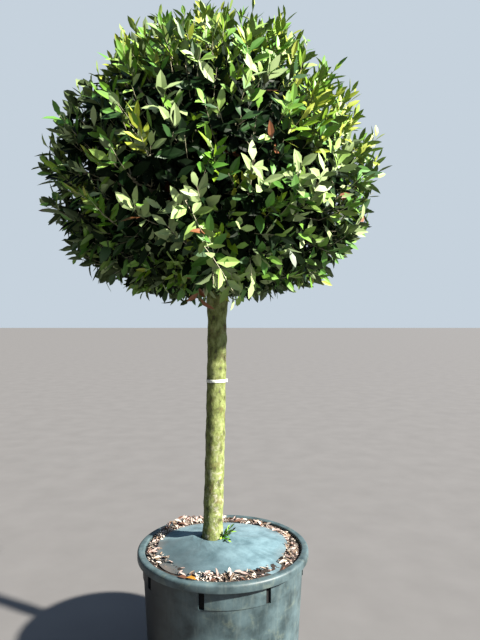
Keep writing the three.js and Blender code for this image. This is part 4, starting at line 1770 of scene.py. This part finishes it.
    def spread(self, count: int, jitter: float = 0.35) -> Array:
        """Directions spread evenly round the centre by the golden angle, each a little out of place.

        Args:
            count: How many.
            jitter: How far out of place, as a share of the space between two.

        Returns:
            The directions, one a row.
        """
        i = np.arange(count)
        height = 1 - 2 * (i + 0.5) / count
        flat = np.sqrt(1 - height**2)
        even = np.stack([np.cos(i * GOLDEN_ANGLE) * flat, np.sin(i * GOLDEN_ANGLE) * flat, height], axis=-1)
        return unit(even + self.rng.normal(0, jitter * math.sqrt(4 * math.pi / count), (count, 3)))

    def mass_of(self, points: Array) -> Array:
        """Finds the mass whose space points lie in: those at the side come first, then those of the cap.

        Args:
            points: The points, one a row.

        Returns:
            The index of each point's mass.
        """
        around = bearing_of(points - self.centre)
        in_cap = points[:, 2] >= self.cap_split
        return np.where(in_cap, BOUGHS + around // CAP_SECTOR, around // SIDE_SECTOR).astype(int)

    def limbs(self) -> list[Limb]:
        """The boughs and leaders, worked out by the rule and the draws that made the solids.

        Returns:
            The boughs and then the leaders.
        """
        draws = SeededDraws(self.seed)
        found = []
        for i in range(BOUGHS):
            out = bearing(SIDE_SECTOR * (i + 0.5) + draws.between(-4, 4))
            start = self.trunk.axis(np.array(self.bough_foot + self.bough_step * (i % 2)))
            reach = draws.between(*self.bough_reach)
            tip = self.centre + out * reach
            tip[2] = draws.between(*self.bough_tips)
            knee = start + out * reach * 0.48 + [0, 0, 0.092]
            found.append(Limb(f"bough_{i + 1}", start, knee, tip, *self.bough_radii))
        for i in range(LEADERS):
            out = bearing(CAP_SECTOR * (i + 0.5))
            start = self.trunk.axis(np.array(self.leader_foot)) + out * 0.020
            tip = self.centre + out * self.leader_reach
            tip[2] = self.cap_split + 0.008
            knee = start + out * 0.062 + [0, 0, 0.300]
            found.append(Limb(f"leader_{i + 1}", start, knee, tip, *self.leader_radii))
        return found

    def shoots(self) -> Shoots:
        """Grows all the leafy shoots, layer by layer.

        Returns:
            The shoots.
        """
        parts = []
        for index, layer in enumerate(self.layers):
            direction = self.spread(layer.count, 0.5)
            share = self.rng.uniform(*layer.shares, layer.count) - self.dip(direction)
            tip = self.centre + direction * (self.reach(direction) * share)[:, None]
            lift = layer.upright * np.where(direction[:, 2] < -0.55, 0.35, 1.0)
            heading = direction + np.stack([lift * 0, lift * 0, lift], axis=-1)
            heading = unit(heading + self.rng.normal(0, 0.24, heading.shape))
            length = self.rng.uniform(*layer.lengths, layer.count)[:, None]
            knee = tip - heading * length * 0.5
            start = knee - unit(heading + 0.8 * direction + [0, 0, 0.1]) * length * 0.5
            young = self.rng.uniform(0, 1, layer.count) < layer.young * self.sunny(direction)
            parts.append(Shoots(start, knee, tip, young, np.full(layer.count, index)))
        parts.append(self.hanging_shoots())
        merged = Shoots.merged(parts)
        return merged.kept(self.trunk.misses(merged.tip, *self.shoot_gap))

    def hanging_shoots(self) -> Shoots:
        """Grows the shoots that hang in front of the fork.

        Returns:
            The shoots.
        """
        ends = np.array(self.hanging)
        start, tip = ends[:, :3] + self.rng.normal(0, 0.008, (len(ends), 3)), ends[:, 3:]
        knee = (start + tip) / 2 + [0, -0.02, 0.02]
        return Shoots(start, knee, tip, np.zeros(len(tip), bool), np.full(len(tip), HANGING))

    def leaves_of(self, shoots: Shoots) -> Leaves:
        """Sets the leaves round each shoot by the golden angle, wide at its foot and steep at its tip.

        Args:
            shoots: The shoots.

        Returns:
            The leaves that stay within the crown's reach.
        """
        parts = []
        for index, count in enumerate([layer.leaves for layer in self.layers] + [self.hanging_leaves]):
            rows = np.flatnonzero(shoots.layer == index)
            turn = self.rng.uniform(0, 2 * math.pi, len(rows))
            for j in range(count):
                share = np.clip((j + self.rng.uniform(0.2, 1.0, len(rows))) / count, 0.06, 1)
                parts.append(self.one_leaf_each(shoots, rows, share, turn + j * GOLDEN_ANGLE))
        merged = Leaves.merged(parts)
        tips = merged.tips()
        low, high = np.array(CAD_BOX) + [[-self.overreach], [self.overreach]]
        limit = self.furthest + self.hanging_further * (shoots.layer[merged.shoot] == HANGING)
        inside = (self.share(tips) < limit) & ((tips > low) & (tips < high)).all(1)
        return merged.kept(inside & self.trunk.misses(tips, *self.leaf_gap))

    def one_leaf_each(self, shoots: Shoots, rows: Array, share: Array, turn: Array) -> Leaves:
        """One leaf on each of some shoots.

        Args:
            shoots: All the shoots.
            rows: The shoots that get a leaf.
            share: How far along its shoot each leaf starts.
            turn: The angle round the shoot at which it stands.

        Returns:
            The leaves, one for each row.
        """
        count = len(rows)
        start, knee, tip = shoots.start[rows], shoots.knee[rows], shoots.tip[rows]
        s = share[:, None]
        base = on_curve(start, knee, tip, s)
        along = unit((knee - start) * (1 - s) + (tip - knee) * s)
        guide = np.where(np.abs(along[:, 2:]) > 0.92, [1.0, 0.0, 0.0], [0.0, 0.0, 1.0])
        out = turned_about(along, unit(np.cross(guide, along)), turn)
        young = shoots.young[rows]
        spread = self.rng.normal(0, self.lean_spread, count)
        lean = np.radians(lerp(*self.leaf_leans, share) - self.young_lean * young + spread)[:, None]
        heading = along * np.cos(lean) + out * np.sin(lean)
        heading = unit(heading + self.rng.normal(0, 0.16, (count, 3)) + [0, 0, 0.03])
        rising = np.clip(along[:, 2:] + 0.3, 0, 1)
        outward = unit(base - self.centre)
        facing = along * rising + 0.95 * outward + [0, 0, 0.3] + self.rng.normal(0, 0.4, (count, 3))
        length = self.rng.uniform(*self.leaf_lengths, count) * (1.04 - 0.28 * share**2)
        shorter, slimmer = (np.where(young, size, 1.0) for size in self.young_sizes)
        length *= shorter
        return Leaves(
            base=base,
            along=heading,
            above=square_to(facing, heading),
            length=length,
            width=length * self.rng.uniform(*self.leaf_slimness, count) * slimmer,
            fold=self.rng.uniform(*self.leaf_folds, count),
            arch=self.rng.normal(*self.leaf_arches, count),
            twist=self.rng.normal(*self.leaf_twists, count),
            shoot=rows,
        )

    def forks(self, count: int, *shares: float) -> Array:
        """Places inside the crown where branches divide.

        Args:
            count: How many are dealt out before those too near the stem are dropped.
            shares: How far out the nearest and the furthest lie.

        Returns:
            The places, one a row.
        """
        direction = self.spread(count)
        share = self.rng.uniform(*shares, count)
        place = self.centre + direction * (self.reach(direction) * share)[:, None]
        return place[self.trunk.misses(place, *self.fork_gap)]

    def stem(self, mass: Mass) -> Array:
        """The main stem of a mass, from its limb's tip to near its outer face.

        Args:
            mass: The mass.

        Returns:
            16 points along it.
        """
        aim = unit(bearing(mass.middle) + [0, 0, self.stem_rises[mass.cap]])
        target = self.centre + aim * float(self.reach(aim)) * self.stem_share
        start = mass.limb.tip - mass.limb.heading() * 6 * MM
        knee = start + mass.limb.heading() * np.linalg.norm(target - start) * 0.4
        return bezier(start[None], knee[None], target[None], np.linspace(0, 1, 16))[0]

    def grow_branches(
        self, arrays: MeshArrays, parents: Array, children: Array, radii: Pair, sides: int
    ) -> None:
        """Grows a branch to each child from the nearest of the parents.

        Args:
            arrays: Where the branches go.
            parents: Places that branches can leave from.
            children: Where they end.
            radii: Their thickness at the start and the end.
            sides: How many sides they have.
        """
        apart = np.linalg.norm(children[:, None] - parents[None], axis=2)
        start = parents[apart.argmin(1)]
        gap = np.linalg.norm(children - start, axis=1, keepdims=True)
        outward = unit(children - self.centre)
        knee = (start + children) / 2 + (0.22 * unit(start - children) - 0.12 * outward) * gap * 0.5
        knee[:, 2] += 0.10 * gap[:, 0]
        add_twigs(arrays, (start, knee, children), 6, radii, sides)

    def build_twigs(self, mass: Mass, index: int, forks: Sequence[Array], shoots: Shoots) -> None:
        """Makes a mass's stem, branches, twigs and the axes of its shoots, joined in one piece.

        Args:
            mass: The mass.
            index: Its number.
            forks: Where the branches divide, from the thickest branches to the finest.
            shoots: The mass's shoots.
        """
        arrays = MeshArrays()
        stem = self.stem(mass)
        thickness = mass.limb.thin * lerp(1.0, 0.5, np.linspace(0, 1, len(stem)))
        add_tubes(arrays, stem[None], thickness[None], 10)
        big, small = (places[self.mass_of(places) == index] for places in forks)
        parents = (stem[1:], np.concatenate([big, stem[4:]]), np.concatenate([small, big]))
        children = (big, small, shoots.start)
        for starts, ends, (thick, thin, sides) in zip(parents, children, self.branch_sizes):
            self.grow_branches(arrays, starts, ends, (thick, thin), sides)
        add_twigs(arrays, (shoots.start, shoots.knee, shoots.tip), 4, self.shoot_radii, 3)
        settle(arrays.piece(f"twigs_{mass.node}"), "bough_bark", mass.node, BoughBark())

    def build_leaves(self, mass: Mass, kind: LeafKind, leaves: Leaves, tints: Array) -> None:
        """Makes a mass's leaves of one kind, joined in one piece.

        Args:
            mass: The mass.
            kind: The kind of leaf.
            leaves: The leaves.
            tints: The tint of each leaf's shoot.
        """
        upper, under = UPPER_TINTS[kind], UNDER_TINTS[kind]
        arrays = MeshArrays()
        add_leaves(arrays, leaves, tints % len(upper), len(upper) + tints % len(under))
        name = f"bay_{kind.name.lower()}"
        # the painted shade tints come first, and their gloss is turned down
        dull = SHADED if kind is LeafKind.MATURE else 0
        faces = [
            LeafFinish(f"{name}_{i + 1}", colour=tint, ior=DULL_IOR if i < dull else LeafFinish.ior)
            for i, tint in enumerate(upper)
        ]
        backs = [UndersideFinish(f"{name}_under_{i + 1}", colour=tint) for i, tint in enumerate(under)]
        settle(arrays.piece(f"{kind.value}_{mass.node}"), kind.value, mass.node, *faces, *backs)

    def shoot_tints(self, shoots: Shoots) -> Array:
        """Deals a tint to each shoot: paler as painted light where the key light falls, some paler as
        painted sheen on the shaded side, and the painted shade tints inside.

        Args:
            shoots: The shoots.

        Returns:
            The index of each shoot's tint.
        """
        tint = SHADED + self.rng.choice(len(SUNLIT_CHANCES), len(shoots.young), p=SUNLIT_CHANCES)
        growth = self.sunny(unit(shoots.tip - self.centre))
        chance = self.rng.uniform(0, 1, len(tint))
        sunlit_side = growth > self.lush_growth
        # painted light: paler tints where the key light falls, at the top and on the right
        tint += chance < np.clip((growth - self.shady_growth) * 0.9, 0, 1)
        tint += chance < np.clip((growth - self.lush_growth) * 0.5, 0, 0.8)
        # painted highlight: some shoots on the shaded side turn paler, as the sky's sheen on their leaves
        tint += (growth < self.shady_growth) & (chance > 0.45)
        palest = np.where(sunlit_side & (chance < 0.6), DEAD - 2, DEAD - 1)
        tint = np.clip(tint, SHADED, palest)
        tint[shoots.layer == HANGING] = self.hanging_tints
        # painted shade: the inner layer takes the shade tints, except some on the sunny side
        lit_within = chance < 0.85 * smoothstep(growth, self.shady_growth, 1.7)
        within = self.rng.integers(0, SHADED, len(tint)) + SHADED * lit_within
        return np.where(shoots.layer == INNER, within, tint)

    def leaf_tints(self, tint: Array, leaves: Leaves) -> Array:
        """Paints leaves that lie deep in the crown dark as shade, less so on the sunny side, makes some
        paler, and lets a few die.

        Args:
            tint: The tint of each leaf's shoot.
            leaves: The leaves.

        Returns:
            The index of each leaf's tint.
        """
        outward = unit(leaves.base - self.centre)
        depth = self.share(leaves.base) + self.dip(outward)
        open_to_light = smoothstep(self.sunny(outward), 0.3, 2.0)
        # painted shade: leaves buried in the crown take the shade tints
        buried = depth < self.rng.normal(0.925, 0.035, len(depth)) - 0.2 * open_to_light
        tint = np.where(buried, self.rng.integers(0, SHADED, len(depth)), tint)
        paler = (self.rng.uniform(0, 1, len(tint)) < 0.3) & (tint < DEAD - 1)
        dead = self.rng.uniform(0, 1, len(tint)) < DEAD_CHANCE
        return np.where(dead, DEAD, tint + paler)

    def build(self) -> None:
        """Builds the whole crown."""
        limbs = self.limbs()
        masses = []
        for i, limb in enumerate(limbs):
            cap = i >= BOUGHS
            number, width = (i - BOUGHS, CAP_SECTOR) if cap else (i, SIDE_SECTOR)
            node = f"foliage_{'top' if cap else 'side'}_{number + 1}"
            masses.append(Mass(node, limb, cap, (number + 0.5) * width))
        for limb in limbs:
            self.trunk.build_limb(limb)
        shoots = self.shoots()
        leaves = self.leaves_of(shoots)
        forks = [self.forks(*row) for row in self.fork_rows]
        leaf_tint = self.leaf_tints(self.shoot_tints(shoots)[leaves.shoot], leaves)
        shoot_mass = self.mass_of(shoots.start)
        for index, mass in enumerate(masses):
            self.build_twigs(mass, index, forks, shoots.kept(shoot_mass == index))
            for kind in LeafKind:
                is_kind = shoots.young[leaves.shoot] == (kind is LeafKind.YOUNG)
                mine = is_kind & (shoot_mass[leaves.shoot] == index)
                self.build_leaves(mass, kind, leaves.kept(mine), leaf_tint[mine])


@dataclass
class BasalShoot:
    """The small green shoot at the stem's foot, on its right."""

    seed: int = 5
    foot_height: float = 0.600
    tips: tuple[tuple[float, float, float], ...] = (
        (0.026, -0.040, 0.000),
        (0.040, -0.026, 0.030),
        (0.036, -0.002, 0.040),
        (0.014, -0.020, 0.020),
    )
    twig_radii: Pair = (2.2 * MM, 1 * MM)
    leaves_each: int = 8
    leaf_lengths: Pair = (22, 36)  # in millimetres
    leaf_slimness: float = 0.3
    greens: tuple[str, ...] = ("#173209", "#2f6010", "#4f8c1a", "#86b53a")

    def build(self, trunk: Trunk) -> None:
        """Makes its twigs and their narrow leaves.

        Args:
            trunk: The stem that it grows from.
        """
        rng = np.random.default_rng(self.seed)
        foot = trunk.axis(np.array(self.foot_height)) + np.array([0.94, -0.3, 0]) * 0.046
        starts = np.repeat(foot[None], len(self.tips), 0)
        ends = starts + np.array(self.tips)
        knees = (starts + ends) / 2 + [0.010, 0, -0.006]
        twigs = MeshArrays()
        add_twigs(twigs, (starts, knees, ends), 5, self.twig_radii, 5)
        settle(twigs.piece("basal_twigs"), "bough_bark", "basal_shoot", BoughBark())
        rows = np.repeat(np.arange(len(self.tips)), self.leaves_each)
        share = np.tile(np.linspace(0.1, 1, self.leaves_each), len(self.tips))
        base = (starts[rows].T * (1 - share) + ends[rows].T * share).T
        twig = unit(ends - starts)[rows]
        turn = np.arange(len(rows)) * GOLDEN_ANGLE
        out = turned_about(twig, unit(np.cross(twig, [0.0, 0.0, 1.0])), turn)
        heading = unit(twig * 0.8 + out * 0.9 * (1.2 - share)[:, None] + [0.15, 0, 0.2])
        length = rng.uniform(*self.leaf_lengths, len(rows)) * MM
        leaves = Leaves(
            base=base,
            along=heading,
            above=square_to(twig + [0, 0, 0.6], heading),
            length=length,
            width=length * self.leaf_slimness,
            fold=rng.uniform(0.1, 0.4, len(rows)),
            arch=rng.normal(0.1, 0.1, len(rows)),
            twist=rng.normal(0, 0.3, len(rows)),
            shoot=rows,
        )
        arrays = MeshArrays()
        count = len(self.greens)
        add_leaves(arrays, leaves, rng.integers(0, count, len(rows)), np.full(len(rows), count))
        faces = [LeafFinish(f"bay_shoot_{i + 1}", colour=green) for i, green in enumerate(self.greens)]
        back = UndersideFinish("bay_young_under_1", colour=UNDER_TINTS[LeafKind.YOUNG][0])
        settle(arrays.piece("basal_leaves"), "young_leaves", "basal_shoot", *faces, back)


# The studio


@dataclass
class Studio:
    """The plain floor, the light and the camera at the photograph's place."""

    camera_place: tuple[float, float, float] = (0.075, -2.3926, 1.5374)
    camera_pitch: float = 0.7424
    lens: float = 29.76
    sensor: float = 36.0
    sun_bearing: float = 64
    sun_elevation: float = 37
    sun_strength: float = 15.2
    sun_angle: float = 2.5
    sun_colour: str = "#fff8ee"
    sky: str = "#c3dafd"
    horizon: str = "#4c5b6c"
    shaded_side: str = "#11171c"
    sky_lean: float = 0.7
    sky_strength: float = 0.85
    backdrop: str = "#c6d2dd"
    floor_size: float = 1600

    def build(self) -> None:
        """Makes the floor, the lights and the camera."""
        bpy.ops.object.select_all(action="DESELECT")
        bpy.ops.mesh.primitive_plane_add(size=self.floor_size)
        floor = take_primitive("studio_floor")
        dress(floor, PaintedBoard())
        world = bpy.data.worlds.new("studio_sky")
        world.use_nodes = True
        tree = world.node_tree
        glow = tree.nodes["Background"]
        glow.inputs["Strength"].default_value = self.sky_strength
        place = add_node(tree, "ShaderNodeTexCoord")
        way = add_node(tree, "ShaderNodeSeparateXYZ", {}, {"Vector": place.outputs["Generated"]})
        tilted = add_node(
            tree,
            "ShaderNodeMath",
            {"operation": "MULTIPLY_ADD", "Value_001": self.sky_lean},
            {"Value": way.outputs["X"], "Value_002": way.outputs["Z"]},
        )
        height = add_node(
            tree,
            "ShaderNodeValToRGB",
            {"stops": [(0.0, self.shaded_side), (0.22, self.horizon), (0.9, self.sky)]},
            {"Fac": tilted.outputs["Value"]},
        )
        tree.links.new(height.outputs["Color"], glow.inputs["Color"])
        paper = add_node(tree, "ShaderNodeBackground", {"Color": linear(self.backdrop)})
        seen = add_node(tree, "ShaderNodeLightPath").outputs["Is Camera Ray"]
        both = add_node(tree, "ShaderNodeMixShader", {}, {"Fac": seen, "Shader": glow.outputs["Background"]})
        tree.links.new(paper.outputs["Background"], both.inputs[2])
        tree.links.new(both.outputs["Shader"], tree.nodes["World Output"].inputs["Surface"])
        bpy.context.scene.world = world
        sun = bpy.data.objects.new("key_light", bpy.data.lights.new("key_light", "SUN"))
        sun.data.energy = self.sun_strength
        sun.data.angle = math.radians(self.sun_angle)
        sun.data.color = linear(self.sun_colour)[:3]
        rise = math.radians(self.sun_elevation)
        towards = Vector(bearing(self.sun_bearing) * math.cos(rise)) + Vector((0, 0, math.sin(rise)))
        sun.rotation_euler = towards.to_track_quat("Z", "Y").to_euler()
        bpy.context.scene.collection.objects.link(sun)
        camera = bpy.data.objects.new("camera", bpy.data.cameras.new("camera"))
        camera.data.lens = self.lens
        camera.data.sensor_width = self.sensor
        camera.location = self.camera_place
        camera.rotation_euler = (math.radians(90 + self.camera_pitch), 0, 0)
        bpy.context.scene.collection.objects.link(camera)
        bpy.context.scene.camera = camera
        bpy.context.scene.view_settings.view_transform = "Standard"


def main() -> None:
    """Builds the studio, the pot and what fills it, the stem and the crown, in order."""
    logging.basicConfig(level=logging.INFO, format="%(message)s")
    Studio().build()
    NurseryPot().build()
    dress(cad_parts["soil"], DampCompost())
    WeedMat().build()
    MulchRing().build()
    trunk = Trunk()
    trunk.build()
    TrunkTie().build(trunk)
    BasalShoot().build(trunk)
    Crown(trunk).build()


if __name__ == "__main__":
    main()
